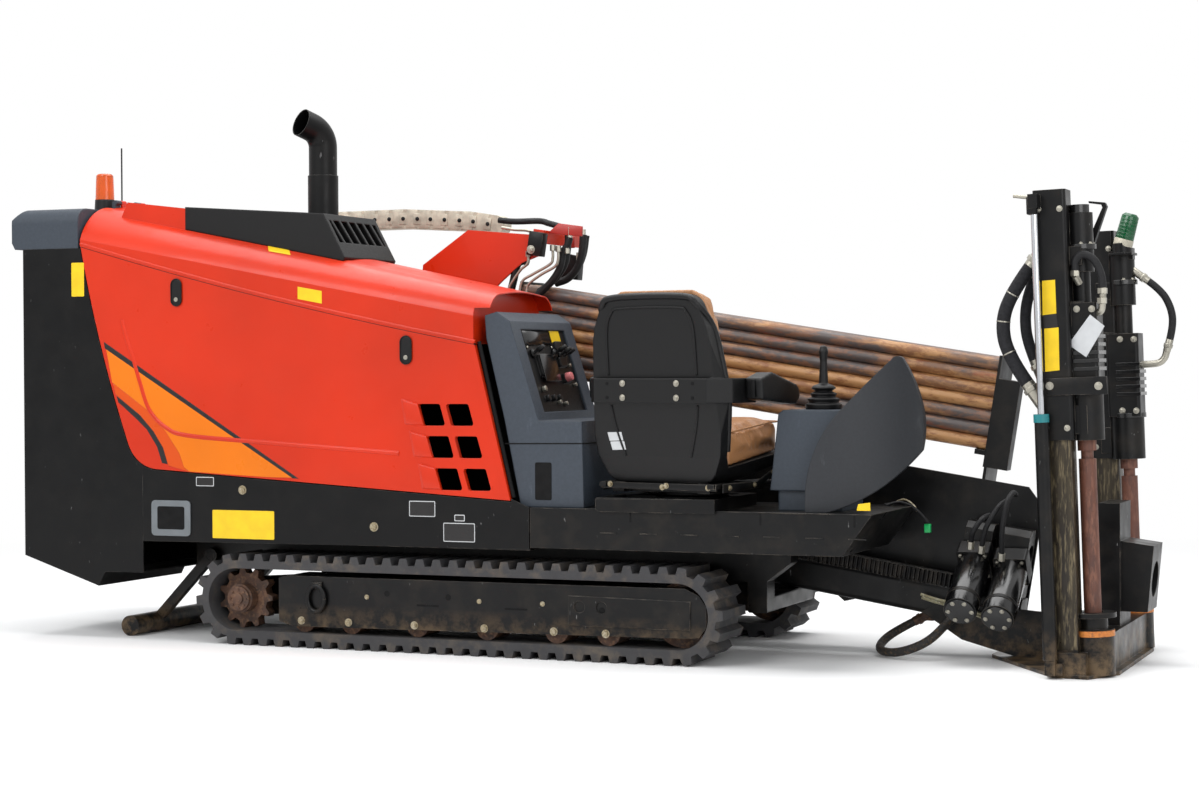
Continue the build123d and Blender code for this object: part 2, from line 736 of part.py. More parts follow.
with BuildPart() as door_latches:
    with BuildSketch(at_side(-HALF_WIDTH)):
        with Locations(*LATCHES):
            RectangleRounded(LATCH_WIDE, LATCH_HIGH, LATCH_WIDE / 2 - 1)
    extrude(amount=5)
door_latches.part.label = "door_latches"
export_step(door_latches.part, "parts/door_latches.step")

# Operator's console beside the seat, with its sloped control face
CONSOLE_NEAR_Y = -526
CONSOLE_FAR_Y = 0
SLOPE_LOW = (61, 817)
SLOPE_TOP = (-46, 1160)
slope_lean = atan2(SLOPE_LOW[0] - SLOPE_TOP[0], SLOPE_TOP[1] - SLOPE_LOW[1])
PANEL_Y = (-455, -75)
slope_plane = Plane(
    origin=((SLOPE_LOW[0] + SLOPE_TOP[0]) / 2, (PANEL_Y[0] + PANEL_Y[1]) / 2, (SLOPE_LOW[1] + SLOPE_TOP[1]) / 2),
    x_dir=(0, 1, 0),
    z_dir=(cos(slope_lean), 0, sin(slope_lean)),
)
PANEL_HIGH = 300
PANEL_SINK = 16
with BuildPart() as console:
    with BuildSketch(at_side(CONSOLE_NEAR_Y)):
        Polygon(
            (-5, DECK_TOP),
            (229, DECK_TOP),
            (222, 815),
            SLOPE_LOW,
            SLOPE_TOP,
            (-95, 1192),
            (-140, 1180),
            (-134, 1100),
            (-66, 819),
            align=None,
        )
    extrude(amount=CONSOLE_NEAR_Y - CONSOLE_FAR_Y)
    with BuildSketch(slope_plane):
        Rectangle(PANEL_Y[1] - PANEL_Y[0], PANEL_HIGH)
    extrude(amount=-PANEL_SINK, mode=Mode.SUBTRACT)
console.part.label = "console"
export_step(console.part, "parts/console.step")
with BuildPart() as control_panel:
    with BuildSketch(slope_plane.offset(-PANEL_SINK)):
        Rectangle(PANEL_Y[1] - PANEL_Y[0] - 2, PANEL_HIGH - 2)
    extrude(amount=8)
    with BuildSketch(slope_plane.offset(-PANEL_SINK + 8)):
        with Locations((-60, 20)):
            RectangleRounded(110, 80, 8)
        with Locations((90, 90), (90, 30), (90, -30)):
            RectangleRounded(60, 34, 5)
        with Locations((-120, -100), (-70, -100), (-20, -100)):
            Circle(11)
    extrude(amount=14)
control_panel.part.label = "control_panel"
export_step(control_panel.part, "parts/control_panel.step")

# Deck: folded plate with a slanted front end
with BuildPart() as deck:
    with BuildSketch(at_side(-HALF_WIDTH)):
        Polygon((DECK_REAR_X, DECK_BOTTOM), (DECK_REAR_X, DECK_TOP), (DECK_FRONT_X, DECK_TOP), (1148, DECK_BOTTOM), align=None)
    extrude(amount=-(HALF_WIDTH + BAY_LEFT_Y))
    with BuildSketch(at_side(-HALF_WIDTH + 8)):
        Polygon((DECK_REAR_X + 8, 300), (DECK_REAR_X + 8, DECK_TOP - 8), (1229, DECK_TOP - 8), (1075, 300), align=None)
    extrude(amount=-(HALF_WIDTH + BAY_LEFT_Y - 16), mode=Mode.SUBTRACT)
    # hangers from the deck down to the two rails
    for x in (200, 900):
        for y in (-(RAIL_Y + RAIL_WIDTH / 2), ):
            with BuildSketch(Plane.XY.offset(FLOOR_BOTTOM)):
                with Locations((x, y)):
                    Rectangle(90, 70)
            extrude(amount=DECK_TOP - 8 - FLOOR_BOTTOM)
deck.part.label = "deck"
export_step(deck.part, "parts/deck.step")

# Seat base on the deck and the seat that swivels on it
seat_turn = radians(SEAT_TURN)
seat_frame_plane = Plane(origin=(SEAT_X, SEAT_Y, 0), x_dir=(cos(seat_turn), -sin(seat_turn), 0), z_dir=(0, 0, 1))


def seat_level(z):
    """Horizontal plane at height z, turned with the seat: local x to its right, local y forward."""
    return seat_frame_plane.offset(z)


def seat_side(x):
    """Plane of the seat's own fore-and-aft and vertical axes, x to its right."""
    right = seat_frame_plane.x_dir
    return Plane(
        origin=seat_frame_plane.origin + right * x,
        x_dir=seat_frame_plane.y_dir,
        z_dir=right,
    )


seat_front = Plane(origin=seat_frame_plane.origin, x_dir=seat_frame_plane.x_dir, z_dir=-seat_frame_plane.y_dir)
SWIVEL_PIN_R = 30
BASE_TOP = 560
with BuildPart() as seat_base:
    with BuildSketch(Plane.XY.offset(DECK_TOP)):
        with Locations((500, -345)):
            RectangleRounded(430, 440, 12)
        with Locations((500, -345)):
            RectangleRounded(340, 330, 8, mode=Mode.SUBTRACT)
    extrude(amount=BASE_TOP - DECK_TOP)
    with BuildSketch(Plane.XY.offset(BASE_TOP - 12)):
        with Locations((SEAT_X, SEAT_Y)):
            Circle(130)
        with Locations((500, -330)):
            Rectangle(400, 120)
        with Locations((SEAT_X, SEAT_Y)):
            Circle(SWIVEL_PIN_R + SEAT_GAP, mode=Mode.SUBTRACT)
    extrude(amount=12)
seat_base.part.label = "seat_base"
export_step(seat_base.part, "parts/seat_base.step")

FRAME_LOW = BASE_TOP + RUN_GAP
FRAME_TOP = 612
with BuildPart() as seat_frame:
    with BuildSketch(seat_level(FRAME_LOW)):
        Circle(120)
    extrude(amount=14)
    with BuildSketch(seat_level(BASE_TOP - 20)):
        Circle(SWIVEL_PIN_R)
    extrude(amount=40)
    with BuildSketch(seat_level(FRAME_LOW + 14)):
        with Locations((-170, -10), (170, -10)):
            Rectangle(46, 400)
        with Locations((0, -150), (0, 60)):
            Rectangle(330, 46)
    extrude(amount=FRAME_TOP - FRAME_LOW - 14)
seat_frame.part.label = "seat_frame"
export_step(seat_frame.part, "parts/seat_frame.step")

SHELL_FRONT = ((-200, 612), (200, 612), (242, 700), (266, 880), (258, 960), (222, 1130), (178, 1240),
               (-178, 1240), (-222, 1130), (-258, 960), (-266, 880), (-242, 700))
SHELL_SIDE = ((-200, 612), (-60, 612), (205, 672), (214, 712), (-140, 664), (-178, 700), (-235, 1240), (-285, 1240),
              (-252, 900), (-222, 700))
with BuildPart() as shell_mask:
    with BuildSketch(seat_front.offset(-400)) as shell_front_sketch:
        Polygon(*SHELL_FRONT, align=None)
        fillet(shell_front_sketch.vertices().group_by(Axis.Z)[-1], radius=60)
    extrude(amount=800)
with BuildPart() as shell_plan:
    with BuildSketch(seat_level(500)) as plan_sketch:
        Polygon((-266, 260), (-266, -205), (-215, -300), (215, -300), (266, -205), (266, 260), align=None)
    extrude(amount=900)
with BuildPart() as seat_shell:
    with BuildSketch(seat_side(0)):
        Polygon(*SHELL_SIDE, align=None)
    extrude(amount=280, both=True)
    add(shell_mask.part, mode=Mode.INTERSECT)
    add(shell_plan.part, mode=Mode.INTERSECT)
    # steel band around the back, which carries the armrests
    with BuildSketch(seat_level(880)):
        with BuildLine():
            Polyline((-278, -60), (-278, -205), (-222, -272), (222, -272), (278, -205), (278, -60))
            offset(amount=5, side=Side.BOTH)
        make_face()
    extrude(amount=82)
seat_shell.part.label = "seat_shell"
export_step(seat_shell.part, "parts/seat_shell.step")

with BuildPart() as seat_cushion:
    with BuildSketch(seat_side(0)):
        Polygon((-128, 666), (205, 711.2), (212, 790), (185, 812), (-118, 770), align=None)
    extrude(amount=215, both=True)
    fillet(seat_cushion.edges().filter_by(lambda e: e.length > 400), radius=12)
seat_cushion.part.label = "seat_cushion"
export_step(seat_cushion.part, "parts/seat_cushion.step")
with BuildPart() as back_mask:
    with BuildSketch(seat_front.offset(-400)) as back_front_sketch:
        Polygon((-205, 690), (205, 690), (236, 880), (232, 980), (215, 1150), (170, 1258),
                (-170, 1258), (-215, 1150), (-232, 980), (-236, 880), align=None)
        fillet(back_front_sketch.vertices().group_by(Axis.Z)[-1], radius=60)
    extrude(amount=800)
with BuildPart() as back_cushion:
    with BuildSketch(seat_side(0)):
        Polygon(
            (-178.1, 704),
            (-132, 704),
            (-125, 780),
            (-150, 1000),
            (-160, 1230),
            (-190, 1258),
            (-236.2, 1258),
            (-234.6, 1240),
            align=None,
        )
    extrude(amount=280, both=True)
    add(back_mask.part, mode=Mode.INTERSECT)
back_cushion.part.label = "back_cushion"
export_step(back_cushion.part, "parts/back_cushion.step")

with BuildPart() as armrests:
    for side in (-1, 1):
        with BuildSketch(seat_side(side * 316)) as arm_sketch:
            Polygon((-125, 890), (-132, 962), (-60, 982), (110, 938), (128, 900), (100, 872), (-60, 884), align=None)
            fillet(arm_sketch.vertices(), radius=11)
        extrude(amount=32.7, both=True)
armrests.part.label = "armrests"
export_step(armrests.part, "parts/armrests.step")

# Joystick stand, its curved pod shell and the joystick
STAND_TOP = 855
with BuildPart() as joystick_stand:
    with BuildSketch(Plane.XY.offset(DECK_TOP)):
        with Locations((1000, -300)):
            RectangleRounded(230, 230, 10)
    extrude(amount=67)
    with BuildSketch(at_side(-430)) as stand_sketch:
        Polygon((864, 587), (893, STAND_TOP - 12), (910, STAND_TOP), (1118, STAND_TOP), (1118, 587), align=None)
    extrude(amount=-260)
joystick_stand.part.label = "joystick_stand"
export_step(joystick_stand.part, "parts/joystick_stand.step")
POD_R = 420
POD_WALL = 14
POD_CENTRE = (965, -HALF_WIDTH + POD_R + 32)
with BuildPart() as pod_shell:
    with BuildSketch(at_side(-600)):
        with BuildLine():
            Line((1012, DECK_TOP), (1012, 560))
            ThreePointArc((1012, 560), (1052, 745), (1135, 868))
            Line((1135, 868), (1270, 1022))
            ThreePointArc((1270, 1022), (1288, 1032), (1300, 1020))
            ThreePointArc((1300, 1020), (1337, 900), (1342, 720))
            ThreePointArc((1342, 720), (1240, 600), (1080, DECK_TOP))
            Line((1080, DECK_TOP), (1012, DECK_TOP))
        make_face()
    extrude(amount=-500)
    with BuildSketch(Plane.XY.offset(400)):
        with Locations(POD_CENTRE):
            Circle(POD_R)
            Circle(POD_R - POD_WALL, mode=Mode.SUBTRACT)
    extrude(amount=800, mode=Mode.INTERSECT)
pod_shell.part.label = "pod_shell"
export_step(pod_shell.part, "parts/pod_shell.step")
with BuildPart() as joystick:
    with BuildSketch(Plane.XZ.offset(300)):
        with BuildLine():
            Polyline((1010, STAND_TOP), (1070, STAND_TOP), (1072, 872), (1060, 878), (1066, 890), (1050, 897),
                     (1056, 908), (1038, 916), (1052, 926), (1046, 934), (1026, 942), (1022, 1015), (1026, 1050),
                     (1021, 1066), (1010, 1071), close=True)
        make_face()
    revolve(axis=Axis((1010, -300, 0), (0, 0, 1)))
joystick.part.label = "joystick"
export_step(joystick.part, "parts/joystick.step")

# Rack beside the beam's top, its teeth towards the near side
RACK_REAR = -1000
RACK_FRONT = 1400
RACK_Y = LINE_Y - BEAM_HALF + 3
RACK_DEEP = 23
RACK_TOOTH = 9
RACK_SINK = 6
RACK_HIGH = 46
PLATE_Y = LINE_Y + BEAM_HALF + 10
PLATE_THICK = 8
tilt = radians(TILT)
rack_outline = []
for i in range(int((RACK_FRONT - RACK_REAR) / RACK_PITCH)):
    s = RACK_REAR + i * RACK_PITCH
    rack_outline += [(s, RACK_TOOTH), (s + 4, 0), (s + 9, 0), (s + 13, RACK_TOOTH)]
rack_x, rack_z = line_point(0, BEAM_TOP - RACK_SINK)
rack_plane = Plane(origin=(rack_x, RACK_Y, rack_z), x_dir=(cos(tilt), 0, -sin(tilt)), z_dir=(sin(tilt), 0, cos(tilt)))

# Drill frame: thrust beam with its rack, pivot pin, the plate beside the lane and the tilt cylinder's lug
with BuildPart() as thrust_beam:
    with BuildSketch(line_side(LINE_Y)):
        with Locations((BEAM_REAR, BEAM_TOP - BEAM_HIGH)):
            Rectangle(BEAM_FRONT - BEAM_REAR, BEAM_HIGH, align=(Align.MIN, Align.MIN))
    extrude(amount=BEAM_HALF, both=True)
    fillet(thrust_beam.edges().filter_by(lambda e: e.length > 2000), radius=18)
    with BuildSketch(line_side(LINE_Y)):
        with Locations((PIVOT_S, PIVOT_N)):
            Circle(PIVOT_R)
    extrude(amount=LANE_HALF + LUG_THICK + 4, both=True)
    with BuildSketch(line_side(PLATE_Y + PLATE_THICK / 2)):
        Polygon(
            (PIPE_REAR - 60, BEAM_TOP - BEAM_HIGH + 20),
            (PIPE_REAR - 60, PLATE_TOP),
            (BEAM_FRONT - 60, PLATE_TOP),
            (BEAM_FRONT, PLATE_TOP - 60),
            (BEAM_FRONT, BEAM_TOP - BEAM_HIGH + 20),
            align=None,
        )
    extrude(amount=PLATE_THICK / 2, both=True)
    with BuildSketch(line_side(PLATE_Y - 5)):
        with Locations((PIPE_REAR - 60, BEAM_TOP - BEAM_HIGH + 30)):
            Rectangle(BEAM_FRONT - PIPE_REAR + 60, 50, align=(Align.MIN, Align.MIN))
    extrude(amount=6, both=True)
    for y in (RAM_Y - EYE_HALF - EYE_GAP - LUG_PLATE / 2, RAM_Y + EYE_HALF + EYE_GAP + LUG_PLATE / 2):
        with BuildSketch(at_side(y)):
            Polygon(
                (RAM_HIGH[0] - 28, RAM_HIGH[1] - 22),
                (RAM_HIGH[0] - 24, RAM_HIGH[1] + 20),
                (RAM_HIGH[0] + 10, RAM_HIGH[1] + 28),
                (RAM_BAR[0] + RAM_BAR_SIDE / 2, RAM_BAR[1] + RAM_BAR_SIDE / 2),
                (RAM_BAR[0] + RAM_BAR_SIDE / 2, RAM_BAR[1] - RAM_BAR_SIDE / 2),
                (RAM_HIGH[0] + 6, RAM_HIGH[1] - 28),
                align=None,
            )
        extrude(amount=LUG_PLATE / 2, both=True)
    with BuildSketch(at_side(PLATE_Y)):
        with Locations(RAM_BAR):
            Rectangle(RAM_BAR_SIDE, RAM_BAR_SIDE)
    extrude(amount=-(RAM_Y + EYE_HALF + EYE_GAP + LUG_PLATE - PLATE_Y))
    with BuildSketch(rack_plane):
        with BuildLine():
            Polyline(*rack_outline, (RACK_FRONT, RACK_DEEP), (RACK_REAR, RACK_DEEP), close=True)
        make_face()
    extrude(amount=RACK_HIGH)
    with BuildSketch(rack_plane.offset(RACK_HIGH)):
        with Locations((RACK_REAR, -2)):
            Rectangle(RACK_FRONT - RACK_REAR, RACK_DEEP + 4, align=(Align.MIN, Align.MIN))
    extrude(amount=5)
thrust_beam.part.label = "thrust_beam"
export_step(thrust_beam.part, "parts/thrust_beam.step")

# Pipe box: plates and shelves at both ends of the stack, and the chain's tray on its far side
PIPE_FRONT = PIPE_REAR + PIPE_LENGTH
PLATE_FAR_Y = PIPE_FIRST_Y + (PIPE_COLUMNS - 1) * PIPE_PITCH + PIPE_D / 2 + 14
SHELF_NEAR_Y = LINE_Y + 47
STACK_TOP = PIPE_LOW + (PIPE_ROWS - 1) * PIPE_PITCH + PIPE_D
END_PLATE = 10
POST_DEEP = 86
CHAIN_Y = (PLATE_FAR_Y + 6, PLATE_FAR_Y + 76)
CHAIN_HIGH = 76
CHAIN_LOW_N = 560
TRAY = 6
TRAY_REAR = -1500
TRAY_FRONT = 300
with BuildPart() as pipe_box:
    for s in (PIPE_REAR - SEAT_GAP - END_PLATE, PIPE_FRONT + SEAT_GAP):
        with BuildSketch(line_across(s)):
            Polygon(
                (PLATE_Y + PLATE_THICK, BEAM_TOP - 60),
                (PLATE_Y + PLATE_THICK, PIPE_LOW - 60),
                (SHELF_NEAR_Y, PIPE_LOW - 30),
                (SHELF_NEAR_Y, STACK_TOP + 8),
                (PLATE_FAR_Y, STACK_TOP + 8),
                (PLATE_FAR_Y, BEAM_TOP - 60),
                align=None,
            )
        extrude(amount=END_PLATE)
    # front post that hides the near pipes' ends
    with BuildSketch(line_across(PIPE_FRONT + SEAT_GAP)):
        with Locations((SHELF_NEAR_Y, 268)):
            Rectangle(60, 310, align=(Align.MIN, Align.MIN))
    extrude(amount=POST_DEEP)
    for s, length in ((PIPE_REAR, 60), (PIPE_FRONT - 36, 36)):
        with BuildSketch(line_across(s)):
            Polygon(
                (SHELF_NEAR_Y, PIPE_LOW - 18),
                (SHELF_NEAR_Y, PIPE_LOW - SEAT_GAP),
                (PLATE_FAR_Y, PIPE_LOW - SEAT_GAP),
                (PLATE_FAR_Y, PIPE_LOW - 18),
                align=None,
            )
        extrude(amount=length)
    with BuildSketch(line_across(TRAY_REAR)):
        with Locations((PLATE_FAR_Y - 6, CHAIN_LOW_N - CHAIN_HIGH / 2 - TRAY)):
            Rectangle(CHAIN_Y[1] + 10 - PLATE_FAR_Y + 6, TRAY, align=(Align.MIN, Align.MIN))
        with Locations((CHAIN_Y[1] + 4, CHAIN_LOW_N - CHAIN_HIGH / 2 - TRAY)):
            Rectangle(6, 50, align=(Align.MIN, Align.MIN))
    extrude(amount=TRAY_FRONT - TRAY_REAR)
pipe_box.part.label = "pipe_box"
export_step(pipe_box.part, "parts/pipe_box.step")

with BuildPart() as drill_pipes:
    with BuildSketch(line_across(PIPE_REAR)):
        with Locations((PIPE_FIRST_Y, PIPE_LOW + PIPE_D / 2)):
            with GridLocations(PIPE_PITCH, PIPE_PITCH, PIPE_COLUMNS, PIPE_ROWS, align=(Align.MIN, Align.MIN)):
                Circle(PIPE_D / 2)
    extrude(amount=PIPE_LENGTH)
drill_pipes.part.label = "drill_pipes"
export_step(drill_pipes.part, "parts/drill_pipes.step")

# Energy chain: level upper run, turn at the rear, lower run on its tray
CHAIN_TURN_R = 92
CHAIN_REAR_S = -1500
CHAIN_FRONT_S = 260
chain_turn_x, chain_turn_z = line_point(CHAIN_REAR_S, CHAIN_LOW_N + CHAIN_TURN_R)
chain_low_rear = line_point(CHAIN_REAR_S, CHAIN_LOW_N)
chain_low_front = line_point(CHAIN_FRONT_S, CHAIN_LOW_N)
with BuildPart() as energy_chain:
    with BuildSketch(at_side((CHAIN_Y[0] + CHAIN_Y[1]) / 2)):
        with BuildLine():
            Polyline(
                chain_low_front,
                chain_low_rear,
                (chain_turn_x - CHAIN_TURN_R * 0.72, chain_turn_z - CHAIN_TURN_R * 0.72),
                (chain_turn_x - CHAIN_TURN_R, chain_turn_z),
                (chain_turn_x - CHAIN_TURN_R * 0.66, chain_turn_z + CHAIN_TURN_R * 0.72),
                (chain_turn_x, chain_turn_z + CHAIN_TURN_R),
                (-1214, 1582),
                (-900, 1584),
                (-617, 1567),
                (-508, 1549),
            )
            offset(amount=CHAIN_HIGH / 2, side=Side.BOTH)
        make_face()
    extrude(amount=(CHAIN_Y[1] - CHAIN_Y[0]) / 2, both=True)
energy_chain.part.label = "energy_chain"
export_step(energy_chain.part, "parts/energy_chain.step")

# Vises: two clamp blocks on the beam, each with a cylinder that slants to the near side
VISES = (1468, 1596)
VISE_LONG = 96
VISE_HALF = 50
VISE_TOP = 85
VISE_BORE = 36
CLAMP_SLANT = 34
CLAMP_R = 55
CLAMP_FROM = 104
CLAMP_TO = 350
slant = radians(CLAMP_SLANT)
with BuildPart() as vises:
    for s in VISES:
        with BuildSketch(line_across(s - VISE_LONG / 2)) as vise_sketch:
            with Locations((LINE_Y, (BEAM_TOP + VISE_TOP) / 2)):
                Rectangle(2 * VISE_HALF, VISE_TOP - BEAM_TOP)
            chamfer(vise_sketch.vertices().group_by(Axis.Z)[-1], length=22)
            with Locations((LINE_Y, 0)):
                Circle(VISE_BORE, mode=Mode.SUBTRACT)
        extrude(amount=VISE_LONG)
        x, z = line_point(s, 0)
        clamp_plane = Plane(origin=(x, LINE_Y, z), x_dir=(1, 0, 0), z_dir=(0, -cos(slant), -sin(slant)))
        with BuildSketch(clamp_plane.offset(44)):
            RectangleRounded(112, 112, 8)
        extrude(amount=CLAMP_FROM - 44)
        with BuildSketch(clamp_plane.offset(CLAMP_FROM)):
            Circle(CLAMP_R)
        extrude(amount=CLAMP_TO - CLAMP_FROM)
        with BuildSketch(clamp_plane.offset(CLAMP_TO - 62)):
            Circle(CLAMP_R + 3)
        extrude(amount=14)
vises.part.label = "vises"
export_step(vises.part, "parts/vises.step")

# Anchor base: floor plate, sockets, leaning columns, feed barrels and the drill string's guide
lean = radians(MAST_LEAN)


def mast_plane(x, y, up):
    """Plane across a leaning anchor axis that meets the floor at X and Y, taken up along the axis."""
    return Plane(
        origin=(x - up * sin(lean), y, up * cos(lean)),
        x_dir=(cos(lean), 0, sin(lean)),
        z_dir=(-sin(lean), 0, cos(lean)),
    )


BASE_PLATE = 12
BASE_CHEEK = 12
BASE_OUTLINE = ((1500, 40), (MAST_X - 45, MAST_OUT + 55), (AUGER_X - 5, MAST_OUT + 66), (AUGER_X + 70, MAST_OUT - 85))
COLUMN = SLEEVE - 2 * (SLEEVE_WALL + MAST_GAP)
COLUMN_TOP = 1040
SOCKET_R = 66
SOCKET_TOP = 130
FLANGE_R = 74
RING_R = 62
AUGER_BORE = AUGER_R + 6
FEED_X = 1797
FEED_OUT = MAST_OUT + SLEEVE / 2 + 32
BARREL_R = 22.5
ROD_R = 11
BARREL_LOW = 60
BARREL_TOP = 845
GLAND = 30
GUIDE_R = 60
GUIDE_FRONT_X = LINE_X
base_points = [(x, LINE_Y - y) for x, y in BASE_OUTLINE] + [(x, LINE_Y + y) for x, y in reversed(BASE_OUTLINE)]
with BuildPart() as anchor_base:
    with BuildSketch(Plane.XY):
        Polygon(*base_points, align=None)
    extrude(amount=BASE_PLATE)
    # side plate that joins the base to the thrust beam
    with BuildSketch(at_side(LINE_Y - BEAM_HALF - BASE_CHEEK / 2)):
        Polygon(
            (1260, 150),
            (1320, 190),
            (AUGER_X - 15, 150),
            (AUGER_X - 15, BASE_PLATE / 2),
            (1600, BASE_PLATE / 2),
            (1400, 60),
            align=None,
        )
    extrude(amount=BASE_CHEEK / 2, both=True)
    # low cross beam between the sockets
    with BuildSketch(Plane.XY.offset(BASE_PLATE)):
        with Locations((AUGER_X + 10, LINE_Y)):
            Rectangle(70, 2 * AUGER_OUT)
    extrude(amount=120)
    for side in (-1, 1):
        mast_y = ANCHOR_MID_Y + side * MAST_OUT
        auger_y = ANCHOR_MID_Y + side * AUGER_OUT
        feed_y = ANCHOR_MID_Y + side * FEED_OUT
        with BuildSketch(mast_plane(MAST_X, mast_y, 5)):
            RectangleRounded(COLUMN, COLUMN, 6)
        extrude(amount=COLUMN_TOP - 5)
        with BuildSketch(Plane.XY.offset(BASE_PLATE)):
            with Locations((MAST_X, mast_y)):
                Rectangle(130, 120)
        extrude(amount=70)
        with BuildSketch(mast_plane(AUGER_X, auger_y, 6)):
            Circle(SOCKET_R)
        extrude(amount=SOCKET_TOP)
        with BuildSketch(mast_plane(AUGER_X, auger_y, 130)):
            Circle(RING_R)
        extrude(amount=22, taper=-8)
        with BuildSketch(mast_plane(AUGER_X, auger_y, 150)):
            Circle(46)
        extrude(amount=40)
        with BuildSketch(mast_plane(AUGER_X, auger_y, 190)):
            Circle(FLANGE_R)
        extrude(amount=16)
        with BuildSketch(mast_plane(FEED_X, feed_y, BARREL_LOW)):
            Circle(BARREL_R)
        extrude(amount=BARREL_TOP - BARREL_LOW)
        # foot of the barrel and its stay on the column's base
        with BuildSketch(Plane.XY.offset(BASE_PLATE)):
            with Locations((FEED_X, feed_y)):
                Rectangle(34, 30)
        extrude(amount=60)
        with BuildSketch(Plane.XY.offset(BASE_PLATE)):
            with Locations((FEED_X + 10, (feed_y + mast_y) / 2)):
                Rectangle(54, FEED_OUT - MAST_OUT)
        extrude(amount=36)
    # tower and guide box of the drill string
    with BuildSketch(at_side(LINE_Y)):
        Polygon((1855, BASE_PLATE), (1855, 520), (1875, 540), (1945, 540), (1945, BASE_PLATE), align=None)
    extrude(amount=100, both=True)
    with BuildSketch(at_side(LINE_Y)):
        Polygon((1940, 180), (1940, 415), (GUIDE_FRONT_X + 20, 400), (GUIDE_FRONT_X, 180), align=None)
    extrude(amount=90, both=True)
    with BuildSketch(line_across(1800)):
        with Locations((LINE_Y, 0)):
            Circle(GUIDE_R)
    extrude(amount=400, mode=Mode.SUBTRACT)
    for side in (-1, 1):
        with BuildSketch(mast_plane(AUGER_X, ANCHOR_MID_Y + side * AUGER_OUT, -20)):
            Circle(AUGER_BORE)
        extrude(amount=260, mode=Mode.SUBTRACT)
        with BuildSketch(mast_plane(FEED_X, ANCHOR_MID_Y + side * FEED_OUT, 265)):
            Circle(ROD_R + 2)
        extrude(amount=BARREL_TOP - GLAND - 265, mode=Mode.SUBTRACT)
        with BuildSketch(mast_plane(FEED_X, ANCHOR_MID_Y + side * FEED_OUT, BARREL_TOP - GLAND - 1)):
            Circle(ROD_R + SEAT_GAP)
        extrude(amount=BARREL_TOP, mode=Mode.SUBTRACT)
anchor_base.part.label = "anchor_base"
export_step(anchor_base.part, "parts/anchor_base.step")

# Anchor drivers: a sleeve on the column, gearbox and motor on the auger's axis, and the feed rod
DRIVER_LOW = 760
SLEEVE_TOP = 1562
ROD_TOP = 1500
LAMP_X = 1925
LAMP_Y = 430
LAMP_UP = 1392
for name, side, drop in (("driver_right", -1, 0), ("driver_left", 1, LEFT_DROP)):
    mast_y = ANCHOR_MID_Y + side * MAST_OUT
    auger_y = ANCHOR_MID_Y + side * AUGER_OUT
    feed_y = ANCHOR_MID_Y + side * FEED_OUT
    low = DRIVER_LOW - drop
    top = SLEEVE_TOP - drop
    with BuildPart() as driver:
        with BuildSketch(mast_plane(MAST_X, mast_y, low)):
            RectangleRounded(SLEEVE, SLEEVE, 14)
        extrude(amount=top - low)
        with BuildSketch(mast_plane(AUGER_X, auger_y, low)):
            Circle(58)
        extrude(amount=150)
        with BuildSketch(mast_plane(AUGER_X, auger_y, low + 150)):
            RectangleRounded(112, 120, 12)
        extrude(amount=290)
        with BuildSketch(mast_plane(AUGER_X, auger_y, low + 440)):
            Circle(30)
        extrude(amount=100)
        with BuildSketch(mast_plane(AUGER_X, auger_y, low + 540)):
            Circle(44)
        extrude(amount=190)
        for up, high in ((low + 20, 90), (low + 420, 24), (low + 560, 60)):
            with BuildSketch(mast_plane((MAST_X + AUGER_X) / 2, (mast_y + auger_y) / 2, up)):
                Rectangle(AUGER_X - MAST_X + 30, 74)
            extrude(amount=high)
        with BuildSketch(mast_plane(FEED_X, (feed_y + mast_y) / 2, ROD_TOP - drop)):
            Rectangle(30, FEED_OUT - MAST_OUT + 44)
        extrude(amount=46)
        with BuildSketch(mast_plane(FEED_X, feed_y, 780 - drop)):
            Circle(ROD_R)
        extrude(amount=ROD_TOP - 780)
        with BuildSketch(mast_plane(MAST_X, mast_y, low - 5)):
            RectangleRounded(COLUMN + 2 * MAST_GAP, COLUMN + 2 * MAST_GAP, 8)
        extrude(amount=top - low - 5, mode=Mode.SUBTRACT)
        if side > 0:
            # post and bracket of the green lamp
            with BuildSketch(mast_plane(AUGER_X + 20, auger_y - 10, low + 700)):
                Rectangle(48, 48)
            extrude(amount=40)
            with BuildSketch(mast_plane(LAMP_X, (LAMP_Y + auger_y) / 2 - 10, LAMP_UP - 8)):
                Rectangle(80, abs(auger_y - LAMP_Y) + 70)
            extrude(amount=8)
            with BuildSketch(mast_plane(LAMP_X, LAMP_Y, LAMP_UP)):
                Circle(34)
            extrude(amount=34)
    driver.part.label = name
    export_step(driver.part, f"parts/{name}.step")

with BuildPart() as green_lamp:
    with BuildSketch(mast_plane(LAMP_X, LAMP_Y, LAMP_UP + 34)):
        Circle(33)
    extrude(amount=96, taper=2)
    fillet(green_lamp.faces().sort_by(Axis.Z)[-1].edges(), radius=10)
green_lamp.part.label = "green_lamp"
export_step(green_lamp.part, "parts/green_lamp.step")

# Augers: shafts that turn below the gearboxes and pass down through the sockets
AUGER_LOW = 30
for name, side, drop in (("auger_right", -1, 0), ("auger_left", 1, LEFT_DROP)):
    auger_y = ANCHOR_MID_Y + side * AUGER_OUT
    with BuildPart() as auger:
        with BuildSketch(mast_plane(AUGER_X, auger_y, AUGER_LOW)):
            Circle(AUGER_R)
        extrude(amount=DRIVER_LOW - drop - 60 - AUGER_LOW)
        with BuildSketch(mast_plane(AUGER_X, auger_y, DRIVER_LOW - drop - 60)):
            Circle(AUGER_R - 8)
        extrude(amount=60 - SEAT_GAP)
        with BuildSketch(mast_plane(AUGER_X, auger_y, DRIVER_LOW - drop - 34)):
            Circle(AUGER_R + 2)
        extrude(amount=34 - SEAT_GAP)
    auger.part.label = name
    export_step(auger.part, f"parts/{name}.step")

